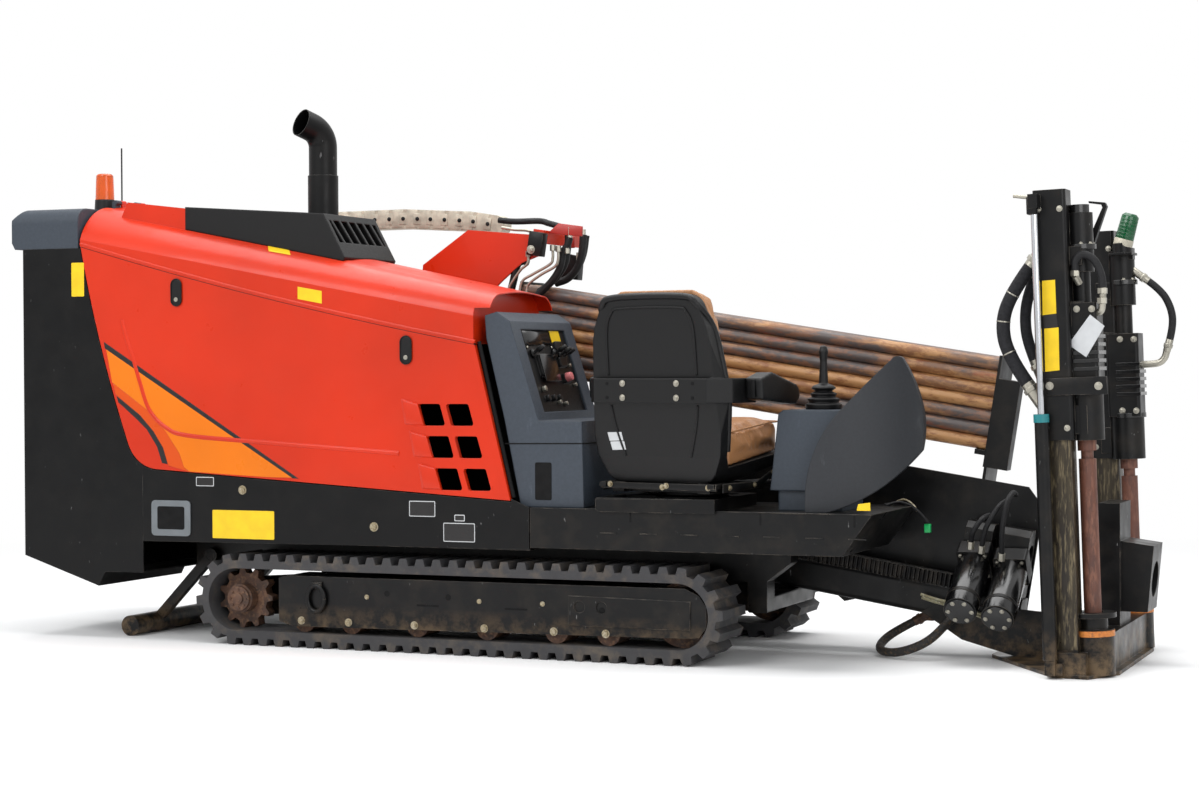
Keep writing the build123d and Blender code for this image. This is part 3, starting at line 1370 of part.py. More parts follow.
# Carriage: gearbox on the beam, its motors behind, and the orange arm over the pipes
CARRIAGE_REAR = -780
CARRIAGE_FRONT = -470
CARRIAGE_HALF = 52
CARRIAGE_LOW = -95
CARRIAGE_TOP = 110
ARM_Y = LINE_Y + 10
ARM_THICK = 12
with BuildPart() as carriage:
    with BuildSketch(line_across(CARRIAGE_REAR)) as carriage_sketch:
        with Locations((LINE_Y, (CARRIAGE_LOW + CARRIAGE_TOP) / 2)):
            Rectangle(2 * CARRIAGE_HALF, CARRIAGE_TOP - CARRIAGE_LOW)
        chamfer(carriage_sketch.vertices(), length=14)
    extrude(amount=CARRIAGE_FRONT - CARRIAGE_REAR)
    with BuildSketch(line_across(CARRIAGE_REAR + 20)):
        Polygon(
            (LINE_Y - 16, BEAM_TOP + SEAT_GAP),
            (LINE_Y - 16, CARRIAGE_LOW + 5),
            (LINE_Y + 32, CARRIAGE_LOW + 5),
            (LINE_Y + 32, BEAM_TOP + SEAT_GAP),
            align=None,
        )
    extrude(amount=CARRIAGE_FRONT - CARRIAGE_REAR - 40)
    with BuildSketch(line_across(CARRIAGE_REAR)):
        with Locations((LINE_Y, 50), (LINE_Y, -42)):
            Circle(43)
    extrude(amount=-190)
carriage.part.label = "carriage"
export_step(carriage.part, "parts/carriage.step")
with BuildPart() as hose_arm:
    with BuildSketch(line_side(ARM_Y)):
        Polygon(
            (-760, CARRIAGE_TOP),
            (-790, 400),
            (-808, 664),
            (-640, 820),
            (-352, 839),
            (-329, 767),
            (-400, 728),
            (-468, 654),
            (-560, 540),
            (-600, 400),
            (-610, CARRIAGE_TOP),
            align=None,
        )
    extrude(amount=ARM_THICK / 2, both=True)
    with BuildSketch(line_side(60)):
        with Locations((-334, 835)):
            Rectangle(44, 50)
    extrude(amount=-340)
hose_arm.part.label = "hose_arm"
export_step(hose_arm.part, "parts/hose_arm.step")
with BuildPart() as spindle:
    with BuildSketch(line_across(CARRIAGE_FRONT + SEAT_GAP)):
        with Locations((LINE_Y, 0)):
            Circle(38)
    extrude(amount=20)
    with BuildSketch(line_across(CARRIAGE_FRONT + 20)):
        with Locations((LINE_Y, 0)):
            Circle(24)
    extrude(amount=40)
spindle.part.label = "spindle"
export_step(spindle.part, "parts/spindle.step")

# Rear stabiliser: two arms on the rails' rear ends and the foot tube between them
arm_angle = atan2(FOOT_R - ARM_PIVOT[1], FOOT_X - ARM_PIVOT[0])
arm_length = hypot(FOOT_R - ARM_PIVOT[1], FOOT_X - ARM_PIVOT[0])
with BuildPart() as stabiliser:
    for side in (-1, 1):
        arm_plane = Plane(
            origin=(ARM_PIVOT[0], side * ARM_OUT_Y, ARM_PIVOT[1]),
            x_dir=(cos(arm_angle), 0, sin(arm_angle)),
            z_dir=(0, -1, 0),
        )
        with BuildSketch(arm_plane):
            with Locations((arm_length / 2, 0)):
                Rectangle(arm_length, ARM_HIGH)
            Circle(28)
            Circle(PIN_R + SEAT_GAP, mode=Mode.SUBTRACT)
        extrude(amount=ARM_WIDE / 2, both=True)
    with BuildSketch(at_side(0)):
        with Locations((FOOT_X, FOOT_R)):
            Circle(FOOT_R)
    extrude(amount=455, both=True)
stabiliser.part.label = "stabiliser"
export_step(stabiliser.part, "parts/stabiliser.step")

# Tilt cylinder between the chassis lug and the drill frame's lug
ram_length = hypot(RAM_HIGH[0] - RAM_LOW[0], RAM_HIGH[1] - RAM_LOW[1])
ram_angle = atan2(RAM_HIGH[1] - RAM_LOW[1], RAM_HIGH[0] - RAM_LOW[0])
ram_plane = Plane(
    origin=(RAM_LOW[0], RAM_Y, RAM_LOW[1]),
    x_dir=(cos(ram_angle), 0, sin(ram_angle)),
    z_dir=(0, -1, 0),
)
ram_axis = Plane(origin=(RAM_LOW[0], RAM_Y, RAM_LOW[1]), x_dir=(0, 1, 0), z_dir=(cos(ram_angle), 0, sin(ram_angle)))
TUBE_R = 30
TUBE_START = 45
TUBE_END = 50
RAM_ROD_R = 14.5
RAM_BORE_R = RAM_ROD_R + 2
with BuildPart() as tilt_barrel:
    with BuildSketch(ram_plane):
        Circle(EYE_R)
    extrude(amount=EYE_HALF, both=True)
    with BuildSketch(ram_axis.offset(EYE_R / 2)):
        Rectangle(2 * EYE_HALF, 1.4 * EYE_R)
    extrude(amount=TUBE_START - EYE_R / 2)
    with BuildSketch(ram_axis.offset(TUBE_START)):
        Circle(TUBE_R)
    extrude(amount=ram_length - TUBE_START - TUBE_END)
    with BuildSketch(ram_axis.offset(TUBE_START + 15)):
        Circle(RAM_BORE_R)
    extrude(amount=ram_length, mode=Mode.SUBTRACT)
tilt_barrel.part.label = "tilt_barrel"
export_step(tilt_barrel.part, "parts/tilt_barrel.step")
with BuildPart() as tilt_rod:
    with BuildSketch(ram_plane):
        with Locations((ram_length, 0)):
            Circle(EYE_R)
    extrude(amount=EYE_HALF, both=True)
    with BuildSketch(ram_axis.offset(TUBE_START + 21)):
        Circle(RAM_ROD_R)
    extrude(amount=ram_length - TUBE_START - 21 - EYE_R / 2)
tilt_rod.part.label = "tilt_rod"
export_step(tilt_rod.part, "parts/tilt_rod.step")

# Places of the drill frame's pivot and of the drill line's start
print("pivot", round(PIVOT_X, 2), LINE_Y, round(PIVOT_Z, 2))
print("line origin", [round(v, 2) for v in line_point(0, 0)])
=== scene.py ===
import math

import bmesh
import bpy
from mathutils import Matrix, Vector
from mathutils.bvhtree import BVHTree

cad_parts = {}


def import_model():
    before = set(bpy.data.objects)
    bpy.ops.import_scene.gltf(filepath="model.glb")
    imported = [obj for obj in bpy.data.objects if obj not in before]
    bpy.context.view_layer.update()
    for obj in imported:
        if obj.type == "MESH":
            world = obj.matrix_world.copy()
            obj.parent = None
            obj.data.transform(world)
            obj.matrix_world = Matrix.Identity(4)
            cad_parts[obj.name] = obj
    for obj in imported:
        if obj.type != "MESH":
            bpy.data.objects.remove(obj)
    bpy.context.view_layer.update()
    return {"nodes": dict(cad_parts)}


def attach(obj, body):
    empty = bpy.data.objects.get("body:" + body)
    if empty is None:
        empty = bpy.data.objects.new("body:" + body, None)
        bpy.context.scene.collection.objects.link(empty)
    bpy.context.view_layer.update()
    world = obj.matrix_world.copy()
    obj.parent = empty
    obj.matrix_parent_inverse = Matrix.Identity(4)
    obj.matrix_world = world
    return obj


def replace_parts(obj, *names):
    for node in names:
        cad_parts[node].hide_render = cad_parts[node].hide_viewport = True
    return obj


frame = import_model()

NODES = frame["nodes"]

# Camera of the photograph
CAM_AT = Vector((3.3085, -7.7601, 1.0067))
CAM_YAW = 0.39546
CAM_DOWN = 0.015103
CAM_ROLL = -0.0041873
CAM_LENS = 69.46

# Drill line: its tilt and its height at X = 0; and the lean of the anchors
TILT = math.radians(9)
LINE_Z0 = 0.60715
LINE_Y = 0.09
LEAN = math.radians(2)

# Stored pipes: spacing, rear ends, lowest row above the drill line, and first column
PIPE_PITCH = 0.0463
PIPE_REAR = -0.406
PIPE_LOW = 0.326
PIPE_FIRST_Y = 0.161


def place_camera():
    down, yaw, roll = CAM_DOWN, CAM_YAW, CAM_ROLL
    forward = Vector((-math.sin(yaw) * math.cos(down), math.cos(yaw) * math.cos(down), -math.sin(down)))
    right = Vector((math.cos(yaw), math.sin(yaw), 0))
    up = right.cross(forward)
    turned_right = math.cos(roll) * right + math.sin(roll) * up
    turned_up = -math.sin(roll) * right + math.cos(roll) * up
    data = bpy.data.cameras.new("camera")
    data.lens = CAM_LENS
    data.sensor_width = 36
    data.clip_end = 200
    camera = bpy.data.objects.new("camera", data)
    bpy.context.scene.collection.objects.link(camera)
    basis = Matrix((turned_right, turned_up, -forward)).transposed()
    camera.matrix_world = Matrix.Translation(CAM_AT) @ basis.to_4x4()
    bpy.context.scene.camera = camera


place_camera()
bpy.context.scene.view_settings.view_transform = "Standard"


def line_point(s, n, y):
    """Point s along the drill line, n above it, at y; all in metres."""
    x = s * math.cos(TILT) + n * math.sin(TILT)
    return Vector((x, y, LINE_Z0 - s * math.sin(TILT) + n * math.cos(TILT)))


def mast_point(x, y, up):
    """Point on a line that leans like the anchors and meets the floor at x."""
    return Vector((x - up * math.sin(LEAN), y, up * math.cos(LEAN)))


LINE_AXES = Matrix.Rotation(TILT, 3, "Y")
MAST_AXES = Matrix.Rotation(-LEAN, 3, "Y")


# Materials: colours are written as three numbers from 0 to 255
def linear(color):
    def one(v):
        v = v / 255
        return v / 12.92 if v <= 0.04045 else ((v + 0.055) / 1.055) ** 2.4
    return (*(one(v) for v in color), 1)


def as_color(value):
    return linear(value) if isinstance(value, tuple) and len(value) == 3 else value


def feed(tree, node, inputs):
    """Set a node's inputs: to a value, or by a link where the value is another node's socket."""
    for key, value in inputs.items():
        if isinstance(value, bpy.types.NodeSocket):
            tree.links.new(value, node.inputs[key])
        else:
            node.inputs[key].default_value = value


def new_node(tree, kind, inputs, **settings):
    node = tree.nodes.new("ShaderNode" + kind)
    for key, value in settings.items():
        setattr(node, key, value)
    feed(tree, node, inputs)
    return node


class Shader:
    """Small builder of a material's node tree, in the part's own coordinates."""

    def __init__(self, name):
        self.material = bpy.data.materials.new(name)
        self.material.use_nodes = True
        self.tree = self.material.node_tree
        self.bsdf = self.tree.nodes["Principled BSDF"]
        self.coords = self.node("TexCoord", {}, "Object")

    def node(self, kind, inputs, out=0, **settings):
        return new_node(self.tree, kind, inputs, **settings).outputs[out]

    def set(self, **values):
        """Inputs of the surface shader, with underscores for the spaces in their names."""
        feed(self.tree, self.bsdf, {key.replace("_", " "): value for key, value in values.items()})

    def noise(self, scale, detail=3, rough=0.5, stretch=(1, 1, 1), turn=(0, 0, 0)):
        """Noise whose coordinates are turned and then stretched, so that streaks can follow a tilted part."""
        turned = self.node("Mapping", {"Vector": self.coords, "Rotation": turn})
        vector = self.node("Mapping", {"Vector": turned, "Scale": stretch})
        inputs = {"Vector": vector, "Scale": scale, "Detail": detail, "Roughness": rough}
        return self.node("TexNoise", inputs, "Fac")

    def pebbles(self, scale):
        return self.node("TexVoronoi", {"Vector": self.coords, "Scale": scale}, "Distance", feature="F1")

    def ramp(self, value, low, high, a=0.0, b=1.0):
        inputs = {"Value": value, "From Min": low, "From Max": high, "To Min": a, "To Max": b}
        return self.node("MapRange", inputs)

    def patches(self, low, high, *noise):
        return self.ramp(self.noise(*noise), low, high)

    def product(self, first, *others):
        for other in others:
            first = self.node("Math", {0: first, 1: other}, operation="MULTIPLY")
        return first

    def sum(self, a, b):
        return self.node("Math", {0: a, 1: b}, operation="ADD")

    def mix(self, share, a, b):
        return self.node("Mix", {0: share, 6: as_color(a), 7: as_color(b)}, 2, data_type="RGBA")

    def worn_edges(self):
        """1 on sharp edges, 0 on flats."""
        bevel = self.node("Bevel", {"Radius": 0.003}, samples=4)
        normal = self.node("NewGeometry", {}, "Normal")
        dot = self.node("VectorMath", {0: bevel, 1: normal}, "Value", operation="DOT_PRODUCT")
        return self.ramp(dot, 0.98, 0.86)

    def rough(self, value, low, high):
        self.set(Roughness=self.ramp(value, 0.25, 0.75, low, high))

    def bump(self, height, strength, distance=0.001, round_edges=0.0):
        """Surface relief; round_edges is the radius by which sharp edges are softened."""
        inputs = {"Height": height, "Strength": strength, "Distance": distance}
        if round_edges:
            inputs["Normal"] = self.node("Bevel", {"Radius": round_edges}, samples=6)
        self.set(Normal=self.node("Bump", inputs))


def scaled(color, factor, lift=0.0):
    return tuple(min(1, c * factor + lift) for c in color[:3]) + (1,)


def paint(name, base, rough, grime, grime_color, edge=None, specks=0.0, coat=0.0, specular=0.28, mud=None):
    """Painted panel: broad shade changes, a film of dust, small pale scratches, chipped edges and low mud."""
    m = Shader(name)
    base = linear(base)
    col = m.mix(m.patches(0.35, 0.7, 1.7, 4), base, scaled(base, 0.8))
    col = m.mix(m.product(m.patches(0.48, 0.75, 9, 6, 0.62), grime), col, grime_color)
    if specks:
        streaks = m.patches(0.70, 0.74, 85, 3, 0.5, (1, 1, 0.35))
        col = m.mix(m.product(streaks, m.patches(0.5, 0.62, 7), specks), col, (150, 150, 150))
    if edge:
        col = m.mix(m.product(m.worn_edges(), m.patches(0.42, 0.6, 22, 4)), col, edge)
    if mud:
        low = m.ramp(m.node("SeparateXYZ", {0: m.coords}, "Z"), mud[1], mud[0])
        col = m.mix(m.product(low, m.patches(0.42, 0.62, 19, 6, 0.66), 0.85), col, (112, 92, 68))
    m.rough(m.noise(14, 5), *rough)
    m.bump(m.noise(260, 2), 0.03, round_edges=0.003)
    m.set(Base_Color=col, Coat_Weight=coat, Coat_Roughness=0.08, Specular_IOR_Level=specular)
    return m.material


def rust(name, colors, rough, scale, stretch=(1, 1, 1), metallic=0.0):
    """Rust, scale or dirt in three colours."""
    m = Shader(name)
    col = m.mix(m.patches(0.36, 0.64, scale, 6, 0.62, stretch), colors[0], colors[1])
    col = m.mix(m.patches(0.5, 0.68, scale * 3.1, 5, 0.6, stretch), col, colors[2])
    m.rough(m.noise(scale * 1.7, 4), *rough)
    m.bump(m.noise(scale * 9, 4, 0.6, stretch), 0.25, 0.0015)
    m.set(Base_Color=col, Metallic=metallic)
    return m.material


def plain(name, base, rough=0.5, metallic=0.0, bump=0.05, scale=180, vary=0.12, edges=0.002, scuff=0.0,
          **extra):
    """Plastic, rubber or bare metal in one colour that varies a little, with paler scuffs."""
    m = Shader(name)
    base = linear(base)
    col = m.mix(m.patches(0.35, 0.65, scale / 9, 4), base, scaled(base, 1 - vary))
    if scuff:
        rubbed = m.product(m.patches(0.6, 0.72, 26, 6, 0.7, (1, 1, 0.3)), m.patches(0.48, 0.62, 5))
        col = m.mix(m.product(rubbed, scuff), col, scaled(base, 2.2, 0.03))
    m.rough(m.noise(scale / 6), rough * 0.85, min(1, rough * 1.15))
    m.bump(m.noise(scale), bump, round_edges=edges)
    m.set(Base_Color=col, Metallic=metallic, **extra)
    return m.material


def dull(level):
    return {"Specular_IOR_Level": level}


ORANGE = paint("orange_paint", (208, 46, 10), (0.26, 0.4), 0.05, (160, 70, 40), coat=0.12)
STRIPE = paint("stripe_yellow", (238, 122, 6), (0.25, 0.35), 0.05, (180, 110, 50), coat=0.12)
STRIPE_DEEP = paint("stripe_deep", (220, 80, 8), (0.25, 0.35), 0.05, (180, 90, 50), coat=0.12)
BLACK = paint("black_paint", (9, 9, 10), (0.3, 0.5), 0.08, (56, 52, 46), (70, 67, 63), 0.4, specular=0.2)
BLACK_WORN = paint("black_worn", (10, 10, 11), (0.26, 0.46), 0.2, (70, 62, 52), (104, 96, 86), 0.6,
                   specular=0.24, mud=(0.02, 0.16))
GREY_CAP = plain("grey_plastic", (58, 65, 74), bump=0.12, scale=900, edges=0.008, scuff=0.35, **dull(0.35))
DARK_POD = plain("dark_plastic", (41, 43, 47), bump=0.2, scale=900, edges=0.006, scuff=0.5, **dull(0.35))
SEAT_PLASTIC = plain("seat_plastic", (10, 10, 11), 0.42, bump=0.16, scale=700, edges=0.008, **dull(0.3))
GLOSS_BLACK = plain("gloss_black", (12, 12, 13), 0.2, scale=120, edges=0.003, **dull(0.6))
STRIPE_BLACK = plain("stripe_black", (20, 17, 17), 0.3, bump=0.02)
# Matte black: painted shade in the track holes, deck slits, pipe bores, console pocket and armrest slots, and
# also the black of the seals, seams, plugs and the plate box's face
SHADE_AND_MATTE_BLACK = plain("painted_shade_and_matte_black", (9, 9, 10), 0.7, **dull(0.2))
CREAM = plain("cream_plastic", (206, 199, 180), bump=0.08, scale=300, vary=0.3)
CHROME = plain("chrome", (206, 208, 212), 0.16, metallic=1.0, bump=0.0)
ZINC = plain("zinc", (170, 166, 154), 0.34, metallic=0.85, bump=0.06)
YELLOW = plain("yellow_plate", (240, 200, 16), 0.4, bump=0.03)
WHITE = plain("white_plate", (200, 202, 204), bump=0.02)
GREY_PLATE = plain("grey_plate", (108, 114, 118), 0.45, bump=0.03)
HOSE = plain("hose_rubber", (24, 24, 26), 0.6, bump=0.25, scale=420, vary=0.3, **dull(0.3))
SLEEVE = plain("hose_sleeve", (38, 38, 41), 0.8, bump=0.6, scale=900, vary=0.35, **dull(0.25))
TEAL = plain("teal_plastic", (26, 120, 126), 0.4)
GREEN_PLUG = plain("green_plastic", (16, 176, 92), 0.35)
PINK = plain("pink_plastic", (214, 120, 122), 0.4)
RED = plain("red_paint", (168, 34, 24), 0.4)
AMBER = plain("amber_lens", (246, 104, 16), 0.12, bump=0.0, Transmission_Weight=0.55, IOR=1.49)
GREEN = plain("green_lens", (8, 96, 52), 0.1, bump=0.0, Transmission_Weight=0.35, IOR=1.49)
STEEL = rust("oily_steel", ((58, 51, 44), (34, 29, 26), (98, 88, 74)), (0.3, 0.55), 18, metallic=0.6)
RUSTY = rust("rusty_steel", ((88, 60, 44), (50, 36, 29), (118, 86, 62)), (0.5, 0.8), 20)
SHAFT = rust("shaft_rust", ((104, 62, 46), (76, 46, 38), (122, 80, 62)), (0.45, 0.7), 26, (1, 1, 0.25))
GREASE = rust("greasy_column", ((66, 58, 44), (38, 33, 28), (116, 104, 80)), (0.25, 0.5), 12, (3, 3, 0.4), 0.5)
BRASSY = rust("brassy", ((150, 138, 110), (176, 168, 148), (110, 92, 62)), (0.3, 0.5), 60, metallic=0.7)
LINE_STEEL = rust("line_steel", ((176, 170, 140), (140, 132, 104), (196, 194, 176)), (0.3, 0.5), 40,
                  metallic=0.6)
MUDDY_HOSE = rust("muddy_hose", ((40, 37, 34), (28, 27, 27), (86, 68, 48)), (0.6, 0.85), 30)
RING = rust("orange_ring", ((206, 128, 52), (186, 102, 36), (140, 88, 50)), (0.4, 0.6), 30)


def leather():
    """Tan leather: fine pebble grain, broad creases and a slightly darker, rubbed tone in places."""
    m = Shader("tan_leather")
    pebbles = m.pebbles(420)
    col = m.mix(m.patches(0.35, 0.7, 9, 4), (200, 146, 98), (180, 128, 84))
    m.set(Base_Color=m.mix(m.product(m.ramp(pebbles, 0.0, 0.5), 0.35), (150, 104, 66), col))
    m.rough(m.noise(60), 0.34, 0.5)
    m.bump(m.sum(pebbles, m.product(m.noise(28, 4), 1.6)), 0.35, 0.0012)
    return m.material


def pipe_rust():
    """Drill pipes: each one has its own share of ochre rust and grey scale, in streaks along its length."""
    m = Shader("pipe_rust")
    turn = (0, -TILT, 0)
    corner = LINE_AXES.transposed() @ line_point(PIPE_REAR, PIPE_LOW, PIPE_FIRST_Y - PIPE_PITCH / 2)
    turned = m.node("Mapping", {"Vector": m.coords, "Rotation": turn})
    moved = m.node("VectorMath", {0: turned, 1: corner - Vector((5, 0, 0))}, operation="SUBTRACT")
    cell = m.node("VectorMath", {0: moved, 1: (10, PIPE_PITCH, PIPE_PITCH)}, operation="SNAP")
    by_pipe = m.node("TexWhiteNoise", {"Vector": cell}, "Value", noise_dimensions="3D")
    share = m.ramp(by_pipe, 0, 1, -0.16, 0.16)
    streaks = m.sum(m.noise(11, 6, 0.62, (0.16, 1, 1), turn), share)
    fine = m.sum(m.noise(34, 9, 0.72, (0.35, 1, 1), turn), m.product(share, 0.4))
    ochre = m.mix(m.ramp(fine, 0.46, 0.56), (138, 92, 56), (178, 132, 86))
    grey = m.mix(m.ramp(fine, 0.48, 0.56), (84, 76, 74), (122, 88, 70))
    col = m.mix(m.ramp(streaks, 0.46, 0.58), grey, ochre)
    red = m.product(m.patches(0.6, 0.7, 23, 5, 0.6, (0.3, 1, 1), turn), 0.7)
    m.set(Base_Color=m.mix(red, col, (140, 70, 40)))
    m.rough(m.noise(30, 4), 0.34, 0.62)
    m.bump(m.noise(160, 4, 0.6, (0.5, 1, 1), turn), 0.25, 0.0012)
    return m.material


def rubber():
    m = Shader("track_rubber")
    col = m.mix(m.patches(0.3, 0.7, 5, 4), (46, 46, 49), (58, 57, 58))
    m.set(Base_Color=m.mix(m.product(m.patches(0.5, 0.72, 11, 6, 0.65), 0.5), col, (116, 102, 84)))
    m.rough(m.noise(20, 4), 0.62, 0.86)
    m.bump(m.noise(90, 5, 0.6), 0.4, 0.002)
    return m.material


LEATHER = leather()

# Material of each CAD node
for material, names in (
        (BLACK_WORN, "chassis_frame deck track_frames thrust_beam pipe_box vises anchor_base driver_right"),
        (BLACK_WORN, "driver_left carriage stabiliser tilt_barrel"),
        (BLACK, "rear_cowl side_skirt bay_wall side_tank seat_base exhaust_stack seat_frame"),
        (GREY_CAP, "tail_cap console joystick_stand"),
        (SEAT_PLASTIC, "beacon_base control_panel joystick intake_cover door_latches seat_shell armrests"),
        (ORANGE, "hood_lid side_door hose_arm"),
        (LEATHER, "seat_cushion back_cushion"),
        (SHAFT, "auger_right auger_left"),
        (rubber(), "track_right track_left"),
        (STEEL, "engine_block spindle"),
        (AMBER, "beacon_lens"),
        (GREEN, "green_lamp"),
        (DARK_POD, "pod_shell"),
        (RUSTY, "running_gear"),
        (pipe_rust(), "drill_pipes"),
        (CREAM, "energy_chain"),
        (CHROME, "tilt_rod")):
    for name in names.split():
        NODES[name].data.materials.clear()
        NODES[name].data.materials.append(material)


# Geometry helpers
def apply_modifiers(obj):
    graph = bpy.context.evaluated_depsgraph_get()
    graph.update()
    mesh = bpy.data.meshes.new_from_object(obj.evaluated_get(graph))
    obj.modifiers.clear()
    old = obj.data
    obj.data = mesh
    bpy.data.meshes.remove(old)


def axes_along(direction):
    return Vector(direction).normalized().to_track_quat("Z", "Y").to_matrix()


def circle(radius, sides=32, start=0.0):
    """Points (u, v) of a circle about the origin, from start degrees on."""
    angles = [math.radians(start) + 2 * math.pi * k / sides for k in range(sides)]
    return [(radius * math.cos(a), radius * math.sin(a)) for a in angles]


def at_y(y, points):
    return [(x, y, z) for x, z in points]


def smooth_path(points, steps=10):
    """Points on a Catmull-Rom curve through the given ones."""
    points = [Vector(p) for p in points]
    padded = [2 * points[0] - points[1]] + points + [2 * points[-1] - points[-2]]
    out = []
    for i in range(1, len(padded) - 2):
        a, b, c, d = padded[i - 1:i + 3]
        for k in range(steps):
            t = k / steps
            out.append(0.5 * (2 * b + (c - a) * t + (2 * a - 5 * b + 4 * c - d) * t * t
                              + (3 * b - a - 3 * c + d) * t ** 3))
    out.append(points[-1])
    return out


class Piece:
    """Geometry of one added piece, in metres; done() makes it an object that rides on a body."""

    def __init__(self):
        self.bm = bmesh.new()

    def verts(self, points):
        return [self.bm.verts.new(Vector(p)) for p in points]

    def wall(self, low, high):
        """Faces between two rings of as many vertices."""
        for i in range(len(low)):
            j = (i + 1) % len(low)
            self.bm.faces.new((low[i], low[j], high[j], high[i]))

    def box(self, center, size, axes=None):
        """Box of the given full size about center, turned by the axes matrix."""
        made = bmesh.ops.create_cube(self.bm, size=1)
        turn = (axes or Matrix.Identity(3)).to_4x4()
        matrix = Matrix.Translation(center) @ turn @ Matrix.Diagonal((*size, 1))
        bmesh.ops.transform(self.bm, matrix=matrix, verts=made["verts"])

    def rod(self, start, end, radius, sides=20, end_radius=None):
        start, end = Vector(start), Vector(end)
        far = radius if end_radius is None else end_radius
        made = bmesh.ops.create_cone(self.bm, cap_ends=True, segments=sides, radius1=radius, radius2=far,
                                     depth=(end - start).length)
        matrix = Matrix.Translation((start + end) / 2) @ axes_along(end - start).to_4x4()
        bmesh.ops.transform(self.bm, matrix=matrix, verts=made["verts"])

    def bolt(self, at, direction, radius=0.009, high=0.006, washer=True):
        at, direction = Vector(at), Vector(direction).normalized()
        if washer:
            self.rod(at - direction * 0.0006, at + direction * 0.0018, radius * 1.45, 16)
        self.rod(at, at + direction * high, radius, 6)
        self.rod(at + direction * high * 0.9, at + direction * high * 1.15, radius * 0.55, 10)

    def tube(self, points, radius, sides=12, smooth=True, steps=8):
        path = smooth_path(points, steps) if smooth else [Vector(p) for p in points]
        rings = []
        normal = None
        for i, p in enumerate(path):
            tangent = (path[min(i + 1, len(path) - 1)] - path[max(i - 1, 0)]).normalized()
            if normal is None:
                normal = tangent.orthogonal().normalized()
            normal = (normal - tangent * normal.dot(tangent)).normalized()
            side = tangent.cross(normal)
            rings.append(self.verts(p + radius * (u * normal + v * side) for u, v in circle(1, sides)))
        for a, b in zip(rings, rings[1:]):
            self.wall(a, b)
        self.bm.faces.new(rings[0])
        self.bm.faces.new(list(reversed(rings[-1])))

    def prism(self, corners, direction):
        """Closed prism: polygon of corners pushed along direction."""
        low = self.verts(corners)
        high = self.verts(Vector(c) + Vector(direction) for c in corners)
        self.bm.faces.new(low)
        self.bm.faces.new(list(reversed(high)))
        self.wall(low, high)

    def ring(self, start, end, outer, inner, sides=32):
        """Hollow cylinder between two points."""
        start, end = Vector(start), Vector(end)
        turn = axes_along(end - start)
        loops = [self.verts(center + turn @ Vector((u, v, 0)) for u, v in circle(radius, sides))
                 for center, radius in ((start, outer), (end, outer), (end, inner), (start, inner))]
        for low, high in zip(loops, loops[1:] + loops[:1]):
            self.wall(low, high)

    def ferrule(self, end, before, radius, length):
        """Metal end of a hose, from its last point on into what holds it."""
        end, along = Vector(end), (Vector(end) - Vector(before)).normalized()
        self.rod(end - along * 0.014, end + along * length, radius, 20)
        self.rod(end + along * 0.002, end + along * 0.016, radius * 1.22, 6)

    def clip(self, at, away):
        """Cut off and close what lies beyond the point at, in the direction away."""
        geometry = self.bm.verts[:] + self.bm.edges[:] + self.bm.faces[:]
        bmesh.ops.bisect_plane(self.bm, geom=geometry, plane_co=at, plane_no=away, clear_outer=True)
        bmesh.ops.holes_fill(self.bm, edges=[edge for edge in self.bm.edges if edge.is_boundary], sides=0)

    def done(self, name, body, material, slot=None, bevel=0.0):
        mesh = bpy.data.meshes.new(name)
        bmesh.ops.recalc_face_normals(self.bm, faces=self.bm.faces)
        self.bm.to_mesh(mesh)
        self.bm.free()
        obj = bpy.data.objects.new(name, mesh)
        bpy.context.scene.collection.objects.link(obj)
        mesh.materials.append(material)
        if bevel:
            mod = obj.modifiers.new("bevel", "BEVEL")
            mod.width = bevel
            mod.segments = 2
            mod.limit_method = "ANGLE"
            mod.angle_limit = math.radians(30)
            mod.harden_normals = False
            apply_modifiers(obj)
        for polygon in obj.data.polygons:
            polygon.use_smooth = True
        obj.data.set_sharp_from_angle(angle=math.radians(30))
        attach(obj, body)
        return obj


def plate_on_side(name, corners, body, material, y, slot=None, thick=0.0006):
    """Thin sticker on a plane of constant Y, facing -Y; corners are (X, Z) in millimetres."""
    piece = Piece()
    piece.prism([(x / 1000, y, z / 1000) for x, z in corners], (0, -thick, 0))
    piece.done(name, body, material, slot)


def rectangle(x0, z0, x1, z1, r):
    """Rounded rectangle's corners in millimetres."""
    points = []
    for cx, cz, start in (
            (x1 - r, z1 - r, 0), (x0 + r, z1 - r, 90), (x0 + r, z0 + r, 180), (x1 - r, z0 + r, 270)):
        points += [(cx + u, cz + v) for u, v in circle(r, 16, start)[:5]]
    return points


def label_on(name, node, corners, body, material):
    """Thin label on a curved CAD skin, behind its four corners as the photograph shows them."""
    mesh = NODES[node].data
    skin = BVHTree.FromPolygons([v.co for v in mesh.vertices], [tuple(p.vertices) for p in mesh.polygons])
    a, b, c, d = (Vector(corner) for corner in corners)
    piece = Piece()
    rows = []
    for i in range(7):
        v = i / 6
        row = []
        for k in range(11):
            u = k / 10
            corner = (a * (1 - u) + b * u) * (1 - v) + (d * (1 - u) + c * u) * v
            spot, normal, _, _ = skin.ray_cast(CAM_AT, (corner - CAM_AT).normalized())
            row.append(spot + normal * 0.0012)
        rows.append(piece.verts(row))
    for low, high in zip(rows, rows[1:]):
        for k in range(10):
            piece.bm.faces.new((low[k], low[k + 1], high[k + 1], high[k]))
    piece.done(name, body, material)


